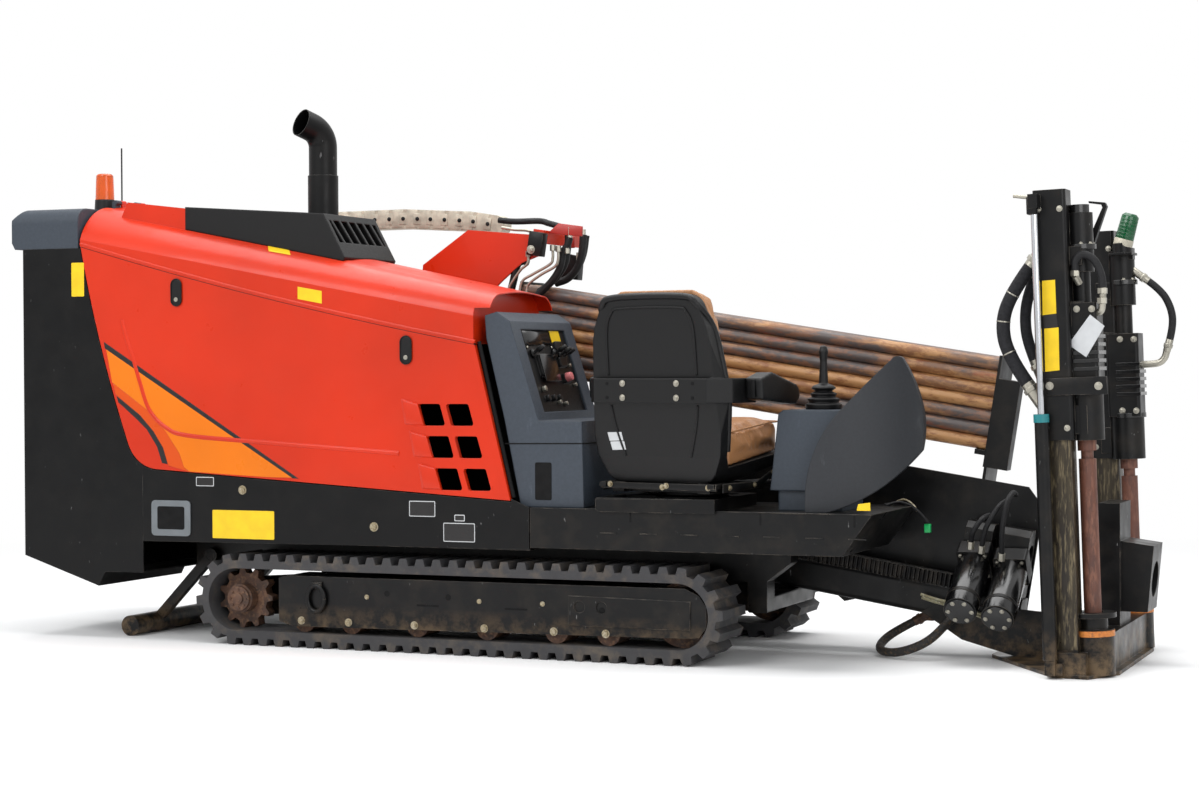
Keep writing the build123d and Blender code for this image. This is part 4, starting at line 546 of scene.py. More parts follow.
# Side door: stripes, rib, vent scoops, latch rims and keyholes
SIDE_Y = -0.552
plate_on_side("stripe_main", [
    (-1681, 1076), (-884, 608), (-1000, 609), (-1180, 617), (-1322, 624), (-1346, 640), (-1365, 690),
    (-1423, 770), (-1505, 850), (-1618, 926), (-1655, 950)], "door", STRIPE, SIDE_Y)
plate_on_side("stripe_deep", [
    (-1322, 623), (-1346, 640), (-1365, 690), (-1423, 770), (-1505, 850), (-1618, 926), (-1652, 948),
    (-1640, 905), (-1621, 892), (-1535, 830), (-1476, 770), (-1435, 710), (-1412, 645)],
    "door", STRIPE_DEEP, SIDE_Y)
plate_on_side("stripe_border", [
    (-1690, 1100), (-866, 605), (-890, 606), (-1686, 1076)], "door", STRIPE_BLACK, SIDE_Y - 0.0002)
plate_on_side("stripe_curve", [
    (-1636, 900), (-1621, 890), (-1535, 830), (-1476, 770), (-1435, 710), (-1416, 650), (-1440, 654),
    (-1461, 714), (-1506, 778), (-1553, 818), (-1613, 865), (-1628, 876)],
    "door", STRIPE_BLACK, SIDE_Y - 0.0002)

rib = Piece()
rib.tube(at_y(SIDE_Y + 0.006, (
    (-1.612, 1.180), (-1.590, 1.110), (-1.560, 1.030), (-1.534, 0.951), (-1.494, 0.850), (-1.423, 0.785),
    (-1.329, 0.756), (-1.029, 0.735), (-0.463, 0.700))), 0.0105, 14)
rib.done("door_rib", "door", ORANGE)

scoops = Piece()
for row in range(3):
    x, z = -0.336 + row * 0.033, 0.836 - row * 0.112
    foot = ((-0.052, 0.040), (-0.122, 0.058), (-0.105, -0.037), (-0.026, -0.038))
    face = ((-0.049, 0.036), (-0.108, 0.050), (-0.094, -0.030), (-0.028, -0.033))
    low = scoops.verts((x + a, SIDE_Y + 0.001, z + b) for a, b in foot)
    high = scoops.verts((x + a, SIDE_Y - 0.007, z + b) for a, b in face)
    scoops.bm.faces.new(high)
    scoops.wall(low, high)
scoops.done("vent_scoops", "door", ORANGE, bevel=0.003)

for i, (x, z) in enumerate(((-1.372, 1.278), (-0.432, 1.062))):
    ring = at_y(SIDE_Y - 0.005, [(x + u, z + v + (0.027 if v > 0 else -0.027)) for u, v in circle(0.022)])
    rim = Piece()
    rim.tube(ring + ring[:1], 0.0022, 8, smooth=False)
    rim.done(f"latch_rim_{i}", "door", SEAT_PLASTIC)
    key = Piece()
    key.rod((x, SIDE_Y - 0.004, z - 0.026), (x, SIDE_Y - 0.008, z - 0.026), 0.008, 18)
    key.done(f"latch_key_{i}", "door", ZINC)

# Bare plates of the skirt, the hood and the cowl, in millimetres
plate_on_side("plate_yellow", rectangle(-1226, 384, -968, 487, 4), "chassis", YELLOW, SIDE_Y)
for letter, (x0, z0, x1, z1) in zip("abcd", (
        (-1295, 572, -1219, 606), (-424, 480, -322, 535), (-291, 395, -169, 461), (-248, 467, -208, 490))):
    plate_on_side(f"plate_white_{letter}", rectangle(x0, z0, x1, z1, 4), "chassis", WHITE, SIDE_Y)
    plate_on_side(f"plate_white_{letter}_field", rectangle(x0 + 3, z0 + 3, x1 - 3, z1 - 3, 3), "chassis",
                  STRIPE_BLACK, SIDE_Y - 0.0003)
plate_on_side("plate_box", rectangle(-1484, 388, -1318, 518, 16), "chassis", GREY_PLATE, SIDE_Y, thick=0.006)
plate_on_side("plate_box_face", rectangle(-1458, 412, -1342, 496, 8), "chassis", SHADE_AND_MATTE_BLACK, SIDE_Y - 0.0058,
              "black_paint")
plate_on_side("plate_hood_low", [
    (-866, 1291), (-768, 1274), (-768, 1229), (-866, 1247)], "hood", YELLOW, SIDE_Y)
label_on("plate_hood_high", "hood_lid", (
    (-1.019, -0.500, 1.446), (-0.932, -0.500, 1.430), (-0.924, -0.500, 1.406), (-1.015, -0.500, 1.422)),
    "hood", YELLOW)
plate_on_side("plate_cowl", rectangle(-1832, 1270, -1776, 1396, 4), "chassis", YELLOW, SIDE_Y)
bolts = Piece()
for x, z in ((-1.099, 0.561), (-0.563, 0.440)):
    bolts.bolt((x, SIDE_Y, z), (0, -1, 0), 0.0115, 0.009)
bolts.done("skirt_bolts", "chassis", BRASSY)

# Tracks and running gear: bolts, tie rings on the frames, holes in their webs drawn as flat black discs and
# strips of painted shade, hubs of the sprockets
bolts, rings, holes, hubs = Piece(), Piece(), Piece(), Piece()
for side in (-1, 1):
    for x in (-0.865, -0.674, -0.412, -0.141, 0.122, 0.314):
        bolts.bolt((x, side * 0.540, 0.097), (0, side, 0), 0.010, 0.009)
    for x in (-0.60, -0.16, 0.08):
        bolts.bolt((x, side * 0.540, 0.19), (0, side, 0), 0.006, 0.004)
    ring = [(-0.800 + 0.034 * u, side * 0.551, 0.178 + 0.046 * v) for u, v in circle(1, 28)]
    rings.tube(ring + ring[:1], 0.0085, 12, smooth=False)
    rings.box((-0.800, side * 0.5435, 0.226), (0.044, 0.014, 0.024))
    for x, z in ((-0.52, 0.205), (-0.28, 0.200), (0.30, 0.175), (0.42, 0.175)):
        holes.rod((x, side * 0.5398, z), (x, side * 0.5406, z), 0.011, 20)
    for x in (-0.36, -0.02):
        holes.box((x, side * 0.5402, 0.168), (0.085, 0.0012, 0.007))
    x, hub, z = -1.133, side * 0.531, 0.165
    hubs.rod((x, side * 0.48, z), (x, hub, z), 0.044, 32)
    hubs.rod((x, hub, z), (x, side * 0.538, z), 0.020, 24)
    for u, v in circle(0.033, 8):
        hubs.bolt((x + u, hub, z + v), (0, side, 0), 0.005, 0.004, False)
bolts.done("roller_bolts", "chassis", BRASSY)
rings.done("tie_rings", "chassis", BLACK_WORN, bevel=0.002)
holes.done("track_holes", "chassis", SHADE_AND_MATTE_BLACK, "black_paint")
hubs.done("drive_hubs", "chassis", RUSTY, bevel=0.002)


# Hoses that hang free: each one on one smooth spline
def hose(name, points, diameter, body, material):
    curve = bpy.data.curves.new(name, "CURVE")
    curve.dimensions = "3D"
    spline = curve.splines.new("NURBS")
    spline.points.add(len(points) - 1)
    for control, point in zip(spline.points, points):
        control.co = (*point, 1)
    spline.order_u = 3
    spline.use_endpoint_u = True
    spline.resolution_u = 12
    obj = bpy.data.objects.new(name, curve)
    bpy.context.scene.collection.objects.link(obj)
    graph = bpy.context.evaluated_depsgraph_get()
    line = bpy.data.meshes.new_from_object(obj.evaluated_get(graph))
    path = [v.co.copy() for v in line.vertices]
    bpy.data.meshes.remove(line)
    curve.bevel_depth = diameter / 2
    curve.bevel_resolution = 5
    curve.use_fill_caps = True
    curve.materials.append(material)
    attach(obj, body)
    return path


OUTER_LINE = at_y(-0.322, ((1.722, 1.330), (1.655, 1.240), (1.618, 1.140), (1.640, 1.030), (1.712, 0.930)))
INNER_LINE = at_y(-0.280, ((1.722, 1.292), (1.696, 1.228), (1.686, 1.150), (1.696, 1.072), (1.724, 1.004)))
LOOP_LINE = at_y(0.470, ((1.950, 1.300), (2.003, 1.262), (2.038, 1.200), (2.046, 1.135), (2.030, 1.075)))
FLOOR_LINE = [
    (1.392, 0.006, 0.150), (1.374, -0.058, 0.128), (1.318, -0.104, 0.062), (1.226, -0.118, 0.024),
    (1.146, -0.076, 0.018), (1.112, 0.008, 0.032), (1.146, 0.082, 0.072), (1.222, 0.112, 0.112)]
outer_path = hose("hose_bundle_piece", OUTER_LINE, 0.044, "right_driver", SLEEVE)
hose("hose_inner_piece", INNER_LINE, 0.036, "right_driver", SLEEVE)
hose("hose_loop_piece", LOOP_LINE, 0.026, "left_driver", HOSE)
hose("floor_hose_piece", FLOOR_LINE, 0.030, "drill_frame", MUDDY_HOSE)
ties = Piece()
for share in (0.22, 0.5, 0.8):
    i = int(share * (len(outer_path) - 1))
    half = (outer_path[i + 1] - outer_path[i - 1]).normalized() * 0.002
    ties.rod(outer_path[i] - half, outer_path[i] + half, 0.0232, 28)
ties.done("bundle_ties", "right_driver", ZINC, "rubber")

# Seat: points and axes of its own frame
SEAT_AT = Vector((0.556, -0.330, 0))
SEAT_AXES = Matrix.Rotation(math.radians(-12), 3, "Z")
TO_REAR = SEAT_AXES @ Vector((0, -1, 0))
CUSHION_CAP = 0.022


def seat_point(right, forward, z):
    return SEAT_AT + SEAT_AXES @ Vector((right, forward, z))


def local_seat(point):
    """Right, forward and height of a point, in the seat's frame."""
    return SEAT_AXES.transposed() @ (point - SEAT_AT)


def node_copy(node, name):
    """A free copy of a CAD node's mesh, welded, without its material."""
    mesh = NODES[node].data.copy()
    mesh.name = name
    mesh.materials.clear()
    obj = bpy.data.objects.new(name, mesh)
    bpy.context.scene.collection.objects.link(obj)
    bm = bmesh.new()
    bm.from_mesh(mesh)
    bmesh.ops.remove_doubles(bm, verts=bm.verts, dist=0.00001)
    bm.to_mesh(mesh)
    bm.free()
    return obj


def remesh(obj, size, shrink=0.0, relax=0):
    if shrink:
        mod = obj.modifiers.new("shrink", "DISPLACE")
        mod.strength = -shrink
        mod.mid_level = 0
    mod = obj.modifiers.new("remesh", "REMESH")
    mod.mode = "VOXEL"
    mod.voxel_size = size
    mod.use_smooth_shade = True
    mod = obj.modifiers.new("relax", "SMOOTH")
    mod.factor = 0.5
    mod.iterations = relax
    apply_modifiers(obj)


def soft_finish(obj, node, material):
    obj.data.materials.clear()
    obj.data.materials.append(material)
    for polygon in obj.data.polygons:
        polygon.use_smooth = True
    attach(obj, "seat")
    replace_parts(obj, node)


def cushion(node, name, free):
    """Padded copy of a cushion's solid: blown up by Cloth, held where free() is 0, by one cap where it is 1."""
    obj = node_copy(node, name)
    remesh(obj, 0.006, 0.002, 6)
    start = [v.co.copy() for v in obj.data.vertices]
    settings = obj.modifiers.new("cloth", "CLOTH").settings
    settings.use_pressure = True
    settings.uniform_pressure_force = 4
    settings.effector_weights.gravity = 0
    settings.tension_stiffness = 14
    settings.compression_stiffness = 14
    settings.bending_stiffness = 0.6
    scene = bpy.context.scene
    for frame_number in range(1, 21):
        scene.frame_set(frame_number)
    graph = bpy.context.evaluated_depsgraph_get()
    puffed = obj.evaluated_get(graph).to_mesh()
    blown = [v.co.copy() for v in puffed.vertices]
    obj.evaluated_get(graph).to_mesh_clear()
    obj.modifiers.clear()
    scene.frame_set(1)
    for vertex, a, b in zip(obj.data.vertices, start, blown):
        move = b - a
        cap = CUSHION_CAP * free(a)
        if move.length > cap:
            move = move.normalized() * cap
        vertex.co = a + move
    obj.modifiers.new("relax", "SMOOTH").iterations = 4
    obj.modifiers.new("divide", "SUBSURF").levels = 1
    apply_modifiers(obj)
    soft_finish(obj, node, LEATHER)


def seat_free(point):
    """The seat cushion rests on its shell: only its top and its front may swell."""
    return min(1.0, max(0.0, (local_seat(point).z - 0.705) / 0.05))


def back_free(point):
    """The backrest lies on its shell at the rear: only its front and its rim may swell."""
    local = local_seat(point)
    rear = -0.178 - (local.z - 0.704) * 0.107
    return min(1.0, max(0.0, (local.y - rear - 0.012) / 0.03))


cushion("seat_cushion", "seat_pad", seat_free)
cushion("back_cushion", "back_pad", back_free)
arms = node_copy("armrests", "armrest_pads")
remesh(arms, 0.004, 0.0, 14)
soft_finish(arms, "armrests", SEAT_PLASTIC)

# Piping and sewn channels of the cushions
seams = Piece()
rim = ((-0.196, -0.105), (-0.205, 0.14), (-0.19, 0.192), (0.19, 0.192), (0.205, 0.14), (0.196, -0.105))
seams.tube([seat_point(r, f, 0.776 + 0.115 * (f + 0.118)) for r, f in rim], 0.0032, 8, steps=6)
for r in (-0.105, 0.105):
    seams.tube([seat_point(r, f, 0.7785 + 0.122 * (f + 0.118)) for f in (-0.09, 0.0, 0.1, 0.17)], 0.002, 8)
seams.done("seat_seams", "seat", LEATHER)


# Back of the shell: raised rim, inset panel, band bolts, plugs and two bare labels
def shell_rear(z):
    """How far behind the seat's axis the shell's back lies at height z."""
    return -0.252 - (z - 0.9) * 0.0971 if z > 0.9 else -0.222 - (z - 0.7) * 0.15


def mirrored(points):
    """The points and then, backwards, their images on the other side."""
    return [*points, *((-r, z) for r, z in reversed(points))]


edge, panel = Piece(), Piece()
side = [(0.24, 0.72), (0.262, 0.88), (0.254, 0.97), (0.22, 1.125), (0.19, 1.205), (0.13, 1.232)]
edge.tube([seat_point(r * 0.985, shell_rear(z) + (0.055 if abs(r) > 0.215 else 0.004), z)
           for r, z in mirrored(side)], 0.012, 12)
edge.done("shell_rim", "seat", SEAT_PLASTIC)
panel.tube([seat_point(r, shell_rear(z) - 0.001, z)
            for r, z in mirrored([(0.176, 0.972), (0.172, 1.12), (0.15, 1.18), (0.11, 1.196)])], 0.0045, 10)
for side in (-1, 1):
    panel.tube([seat_point(side * r, shell_rear(z) - 0.001, z)
                for r, z in ((0.172, 0.872), (0.16, 0.80), (0.13, 0.70))], 0.004, 10)
panel.done("shell_panel", "seat", SEAT_PLASTIC)
bolts, plugs, labels, slots = Piece(), Piece(), Piece(), Piece()
for side in (-1, 1):
    for z in (0.897, 0.945):
        bolts.bolt(seat_point(side * 0.107, -0.2772, z), TO_REAR, 0.0075, 0.006)
        plugs.rod(seat_point(side * 0.17, -0.2768, z), seat_point(side * 0.17, -0.2782, z), 0.006, 16)
    # armrest slots: black boxes of painted shade where the openings are
    slots.box(seat_point(side * 0.316, -0.1335, 0.926), (0.016, 0.006, 0.062), SEAT_AXES)
for z0, z1, shift in ((0.752, 0.779, 0.0), (0.721, 0.748, 0.008)):
    corners = ((-0.197, z1), (-0.140, z1 + 0.002), (-0.135, z0), (-0.191, z0 - 0.002))
    labels.prism([seat_point(r + shift, shell_rear(z) - 0.0004, z) for r, z in corners], TO_REAR * 0.0008)
bolts.done("band_bolts", "seat", ZINC)
plugs.done("band_plugs", "seat", SHADE_AND_MATTE_BLACK)
labels.done("shell_labels", "seat", WHITE)
slots.done("armrest_slots", "seat", SHADE_AND_MATTE_BLACK, bevel=0.002)

# Seat rails, linkage and its bolts, all on the swivelling frame, and the folded pan of the seat's base
rails, bolts, pan = Piece(), Piece(), Piece()
for side in (-1, 1):
    rails.box(seat_point(side * 0.215, -0.03, 0.604), (0.026, 0.42, 0.016), SEAT_AXES)
    link = ((-0.20, 0.612), (0.02, 0.612), (0.17, 0.668), (0.17, 0.650), (0.03, 0.590), (-0.20, 0.582))
    rails.prism([seat_point(side * 0.236, f, z) for f, z in link], SEAT_AXES @ Vector((side * 0.005, 0, 0)))
rails.box(seat_point(0, -0.224, 0.600), (0.46, 0.010, 0.022), SEAT_AXES)
rails.done("seat_rails", "seat", BLACK_WORN, bevel=0.001)
for right, z in ((-0.19, 0.604), (0.02, 0.598), (0.036, 0.603), (0.2, 0.60)):
    bolts.bolt(seat_point(right, -0.229, z), TO_REAR, 0.007, 0.007)
for f, z in ((-0.16, 0.598), (0.0, 0.602), (0.12, 0.640)):
    bolts.bolt(seat_point(0.2412, f, z), SEAT_AXES @ Vector((1, 0, 0)), 0.0065, 0.006)
bolts.done("seat_bolts", "seat", BRASSY)
fold = ((0.288, 0.556), (0.288, 0.520), (0.302, 0.512), (0.715, 0.512), (0.715, 0.560))
pan.prism(at_y(-0.566, fold), (0, 0.004, 0))
pan.done("seat_pan_edge", "chassis", BLACK_WORN)

# Console: seam round its foot, and pocket drawn as a flat black sheet of painted shade
CONSOLE_Y = -0.526
seam = Piece()
seam.tube([(-0.066, CONSOLE_Y, 0.737), (0.224, CONSOLE_Y, 0.740)], 0.0022, 8, smooth=False)
seam.tube([(0.2262, CONSOLE_Y + 0.002, 0.740), (0.2262, -0.010, 0.740)], 0.0022, 8, smooth=False)
seam.done("console_seam", "chassis", SHADE_AND_MATTE_BLACK)
plate_on_side("console_pocket", rectangle(48, 545, 110, 674, 6), "chassis", SHADE_AND_MATTE_BLACK, CONSOLE_Y)

# Control panel on the console's slope: fields, switches, levers and a bare yellow plate
SLOPE = math.atan2(0.107, 0.355)
SLOPE_AXES = Matrix((
    (0, -math.sin(SLOPE), math.cos(SLOPE)),
    (1, 0, 0),
    (0, math.cos(SLOPE), math.sin(SLOPE)),
))
SLOPE_MID = Vector((0.0075, -0.265, 0.9945)) - SLOPE_AXES @ Vector((0, 0, 0.008))


def slope_point(across, up, out=0.0):
    return SLOPE_MID + SLOPE_AXES @ Vector((across, up, out))


def slope_plate(piece, x0, y0, x1, y1, out, thick):
    corners = [slope_point(*c, out) for c in ((x0, y0), (x1, y0), (x1, y1), (x0, y1))]
    piece.prism(corners, SLOPE_AXES @ Vector((0, 0, thick)))


plate, fields, levers, button, knobs = Piece(), Piece(), Piece(), Piece(), Piece()
slope_plate(plate, 0.060, 0.092, 0.142, 0.143, 0.0002, 0.0008)
plate.done("panel_yellow", "chassis", YELLOW)
slope_plate(fields, -0.176, 0.088, 0.05, 0.145, 0.0002, 0.001)
slope_plate(fields, -0.115, -0.048, 0.015, 0.052, 0.014, 0.003)
fields.done("panel_fields", "chassis", GLOSS_BLACK, "dark_plastic", bevel=0.001)
for across, up, high, lean in (
        (-0.135, 0.058, 0.052, -0.4), (0.05, 0.058, 0.055, -0.2), (0.096, 0.052, 0.05, 0.1),
        (0.13, 0.05, 0.048, 0.2)):
    low = slope_point(across, up)
    tip = slope_point(across + lean * 0.012, up + 0.012, high)
    levers.rod(low, low + (tip - low) * 0.55, 0.006, 14)
    levers.rod(low + (tip - low) * 0.5, tip, 0.0105, 14, 0.008)
    levers.rod(low, slope_point(across, up, 0.008), 0.016, 18)
levers.done("panel_levers", "chassis", SEAT_PLASTIC, bevel=0.001)
button.rod(slope_point(0.078, -0.034, 0.012), slope_point(0.078, -0.034, 0.034), 0.017, 24, 0.015)
button.done("stop_button", "chassis", PINK, bevel=0.002)
for across, up, radius in (
        (-0.13, -0.072, 0.010), (-0.03, -0.122, 0.007), (0.02, -0.128, 0.007), (0.14, 0.012, 0.006),
        (0.148, -0.06, 0.006)):
    knobs.rod(slope_point(across, up), slope_point(across, up, 0.014), radius, 18)
for across in (-0.162, -0.06, 0.045, 0.155):
    knobs.bolt(slope_point(across, 0.081), SLOPE_AXES @ Vector((0, 0, 1)), 0.0035, 0.003)
knobs.done("panel_knobs", "chassis", ZINC, bevel=0.0006)

# Black seal between the door's front edge and the console
seal = Piece()
seal.tube(at_y(-0.534, ((-0.158, 1.090), (-0.092, 0.812), (-0.029, 0.552))), 0.0075, 10, smooth=False)
seal.done("console_seal", "chassis", SHADE_AND_MATTE_BLACK)

# Deck: fold with its welds, slits drawn as thin black strips of painted shade, a bare yellow plate and the
# wiring beside it
edge, slits, welds, plate = Piece(), Piece(), Piece(), Piece()
edge.tube([(0.245, SIDE_Y, 0.5195), (1.246, SIDE_Y, 0.5195)], 0.0024, 8, smooth=False)
edge.done("deck_edge", "chassis", BLACK_WORN)
for x in (0.41, 0.87, 1.19):
    slits.box((x, SIDE_Y - 0.0002, 0.500), (0.006, 0.0008, 0.044))
slits.done("deck_slits", "chassis", SHADE_AND_MATTE_BLACK, "black_paint")
for i in range(7):
    x = 0.30 + i * 0.145
    welds.tube(at_y(SIDE_Y - 0.0005, ((x, 0.4395), (x + 0.03, 0.4400), (x + 0.06, 0.4393))), 0.0022, 8)
welds.done("deck_welds", "chassis", BLACK_WORN)
plate.prism(at_y(-0.5535, ((1.198, 0.533), (1.244, 0.533), (1.243, 0.560), (1.203, 0.554))), (0, 0.002, 0))
plate.done("deck_plate_yellow", "chassis", YELLOW)
wires, tan_wire, connector = Piece(), Piece(), Piece()
wires.tube([(1.16, -0.06, 0.522), (1.20, -0.05, 0.532), (1.245, -0.05, 0.520), (1.28, -0.045, 0.490),
            (1.300, -0.04, 0.462)], 0.0045, 8)
wires.tube([(1.15, -0.05, 0.523), (1.195, -0.03, 0.528), (1.25, -0.03, 0.506), (1.29, -0.03, 0.476),
            (1.302, -0.03, 0.46)], 0.0035, 8)
wires.done("deck_wires", "chassis", HOSE)
tan_wire.tube(at_y(-0.04, ((1.17, 0.523), (1.215, 0.541), (1.25, 0.522), (1.262, 0.502))), 0.0035, 8)
tan_wire.done("deck_wire_tan", "chassis", BRASSY, "rubber")
connector.box((1.298, -0.034, 0.444), (0.022, 0.016, 0.030))
connector.done("deck_connector", "chassis", GREEN_PLUG, bevel=0.002)


# Hood: bead along its lower edge, and the black seal between hood and door
def arc_through(a, b, c, count=24):
    """Points on the circle through three (X, Z) points, from the first to the last."""
    (ax, az), (bx, bz), (cx, cz) = a, b, c
    aa, bb, cc = ax * ax + az * az, bx * bx + bz * bz, cx * cx + cz * cz
    d = 2 * (ax * (bz - cz) + bx * (cz - az) + cx * (az - bz))
    ux = (aa * (bz - cz) + bb * (cz - az) + cc * (az - bz)) / d
    uz = (aa * (cx - bx) + bb * (ax - cx) + cc * (bx - ax)) / d
    radius = math.hypot(ax - ux, az - uz)
    start, end = math.atan2(az - uz, ax - ux), math.atan2(cz - uz, cx - ux)
    if end - start > math.pi:
        end -= 2 * math.pi
    if start - end > math.pi:
        end += 2 * math.pi
    angles = [start + (end - start) * k / count for k in range(count + 1)]
    return [(ux + radius * math.cos(v), uz + radius * math.sin(v)) for v in angles]


hood_seam = arc_through((-1.793, 1.456), (-0.884, 1.226), (-0.166, 1.080))
bead, seal = Piece(), Piece()
bead.tube([(x, SIDE_Y + 0.0035, z + 0.0105) for x, z in hood_seam], 0.0062, 10, smooth=False)
bead.done("hood_bead", "hood", ORANGE)
seal.tube([(x, SIDE_Y + 0.0030, z - 0.0008) for x, z in hood_seam], 0.0030, 8, smooth=False)
seal.done("door_seal", "door", SHADE_AND_MATTE_BLACK, "rubber")

# Anchors: where the leaning axes of column, auger and feed cylinder meet the floor, and their places across
MAST_X, AUGER_X, FEED_X = 1.838, 1.915, 1.797
MAST_OUT, AUGER_OUT, FEED_OUT = 0.42, 0.38, 0.505
SLEEVE_HALF = 0.053
LEFT_DROP = 0.09
MAST_UP = MAST_AXES @ Vector((0, 0, 1))
MAST_AHEAD = MAST_AXES @ Vector((1, 0, 0))
columns, rings, glands = Piece(), Piece(), Piece()
for side in (-1, 1):
    mast_y, auger_y, feed_y = (LINE_Y + side * out for out in (MAST_OUT, AUGER_OUT, FEED_OUT))
    low, high = mast_point(MAST_X, mast_y, 0.086), mast_point(MAST_X, mast_y, 1.038)
    columns.box((low + high) / 2, (0.0850, 0.0850, (high - low).length), MAST_AXES)
    rings.ring(mast_point(AUGER_X, auger_y, 0.1305), mast_point(AUGER_X, auger_y, 0.149), 0.0675, 0.062)
    glands.ring(mast_point(FEED_X, feed_y, 0.818), mast_point(FEED_X, feed_y, 0.8448), 0.0248, 0.0222)
columns.done("column_faces", "drill_frame", GREASE, bevel=0.004)
rings.done("socket_rings", "drill_frame", RING)
glands.done("barrel_glands", "drill_frame", TEAL)
for side, word, drop in ((-1, "right", 0.0), (1, "left", LEFT_DROP)):
    mast_y, auger_y, feed_y = (LINE_Y + side * out for out in (MAST_OUT, AUGER_OUT, FEED_OUT))
    chrome, ribs, bolts = Piece(), Piece(), Piece()
    low, high = mast_point(FEED_X, feed_y, 0.79 - drop), mast_point(FEED_X, feed_y, 1.499 - drop)
    chrome.ring(low, high, 0.01112, 0.0100)
    chrome.done(f"feed_chrome_{word}", f"{word}_driver", CHROME)
    for k in range(5):
        ribs.box(mast_point(AUGER_X, auger_y, 0.988 - drop + k * 0.026), (0.120, 0.128, 0.012), MAST_AXES)
    for up, thick, radius, sides in (
            (1.372, 0.016, 0.052, 36), (1.489, 0.027, 0.034, 32), (0.905, 0.016, 0.0655, 36)):
        low = mast_point(AUGER_X, auger_y, up - drop)
        ribs.rod(low, mast_point(AUGER_X, auger_y, up + thick - drop), radius, sides)
    # nothing reaches into the sleeve, where the column runs
    ribs.clip(mast_point(MAST_X + SLEEVE_HALF + 0.0005, auger_y, 0), -MAST_AHEAD)
    ribs.done(f"gearbox_ribs_{word}", f"{word}_driver", GLOSS_BLACK)
    flange = mast_point(AUGER_X, auger_y, 1.388 - drop)
    for degrees in (-75, -30, 30, 75):
        turn = math.radians(degrees)
        offset = Vector((math.cos(turn), math.sin(turn), 0)) * 0.0435
        bolts.bolt(flange + MAST_AXES @ offset, MAST_UP, 0.006, 0.006)
    for x, up in ((-0.006, 0.930), (0.042, 0.930), (-0.006, 1.180), (0.042, 1.180)):
        bolts.bolt(mast_point(AUGER_X + x, auger_y - 0.0602, up - drop), (0, -1, 0), 0.0075, 0.006)
    for up in (0.80, 1.50):
        for x in (-0.034, 0.034):
            bolts.bolt(mast_point(MAST_X + x, mast_y - SLEEVE_HALF, up - drop), (0, -1, 0), 0.007, 0.006)
    bolts.done(f"driver_bolts_{word}", f"{word}_driver", ZINC)

# Right driver: bare plates, pin with its bracket, low plate, bent strip, pipe with fittings, bare tag
MAST_NEAR = -0.3832
PIPE_Y = -0.350
for name, material, corners in (
        ("mast_yellow_a", YELLOW, ((1764, 1270), (1806, 1273), (1810, 1165), (1766, 1160))),
        ("mast_yellow_b", YELLOW, ((1771, 1117), (1817, 1121), (1820, 984), (1774, 979))),
        ("mast_black", STRIPE_BLACK, ((1767, 1159), (1810, 1164), (1814, 1122), (1770, 1118)))):
    plate_on_side(name, corners, "right_driver", material, MAST_NEAR, "cream_plastic")
brackets, pins, strip = Piece(), Piece(), Piece()
brackets.box((1.7395, -0.415, 1.5085), (0.031, 0.040, 0.057), MAST_AXES)
brackets.box((1.875, -0.3875, 0.9335), (0.194, 0.009, 0.057), MAST_AXES)
brackets.done("driver_brackets", "right_driver", BLACK_WORN, bevel=0.003)
pins.rod((1.676, -0.400, 1.543), (1.730, -0.400, 1.536), 0.0065, 16)
for x in (1.79, 1.945):
    pins.bolt((x, -0.392, 0.934), (0, -1, 0), 0.009, 0.007)
pins.done("driver_pins", "right_driver", ZINC)
strip.prism(at_y(-0.243, (
    (1.872, 1.376), (1.898, 1.376), (1.944, 1.512), (1.938, 1.524), (1.886, 1.530), (1.886, 1.524),
    (1.926, 1.518), (1.930, 1.508))), (0, 0.026, 0))
strip.done("motor_strip", "right_driver", BLACK)
pipe, fittings, tag = Piece(), Piece(), Piece()
pipe.tube(at_y(PIPE_Y, (
    (1.863, 1.300), (1.863, 1.330), (1.877, 1.350), (1.900, 1.351), (1.927, 1.330), (1.946, 1.287),
    (1.951, 1.246))), 0.0125, 14)
pipe.done("motor_pipe", "right_driver", HOSE)
elbow = ((1.951, 1.252), (1.948, 1.196), (1.940, 1.172), (1.914, 1.166))
fittings.tube([(x, PIPE_Y + 0.01 * k, z) for k, (x, z) in enumerate(elbow)], 0.0115, 14, steps=5)
for x, z in ((1.950, 1.236), (1.9485, 1.205)):
    fittings.rod((x, PIPE_Y, z + 0.009), (x, PIPE_Y, z - 0.009), 0.0165, 6)
fittings.rod((1.863, PIPE_Y, 1.302), (1.863, PIPE_Y, 1.284), 0.0155, 6)
fittings.rod((1.863, PIPE_Y, 1.286), (1.872, -0.328, 1.262), 0.0115, 14)
fittings.done("pipe_fittings", "right_driver", ZINC)
tag.prism(at_y(-0.356, ((1.912, 1.161), (1.958, 1.124), (1.900, 1.025), (1.842, 1.066))), (0, -0.001, 0))
tag.done("driver_tag", "right_driver", WHITE)

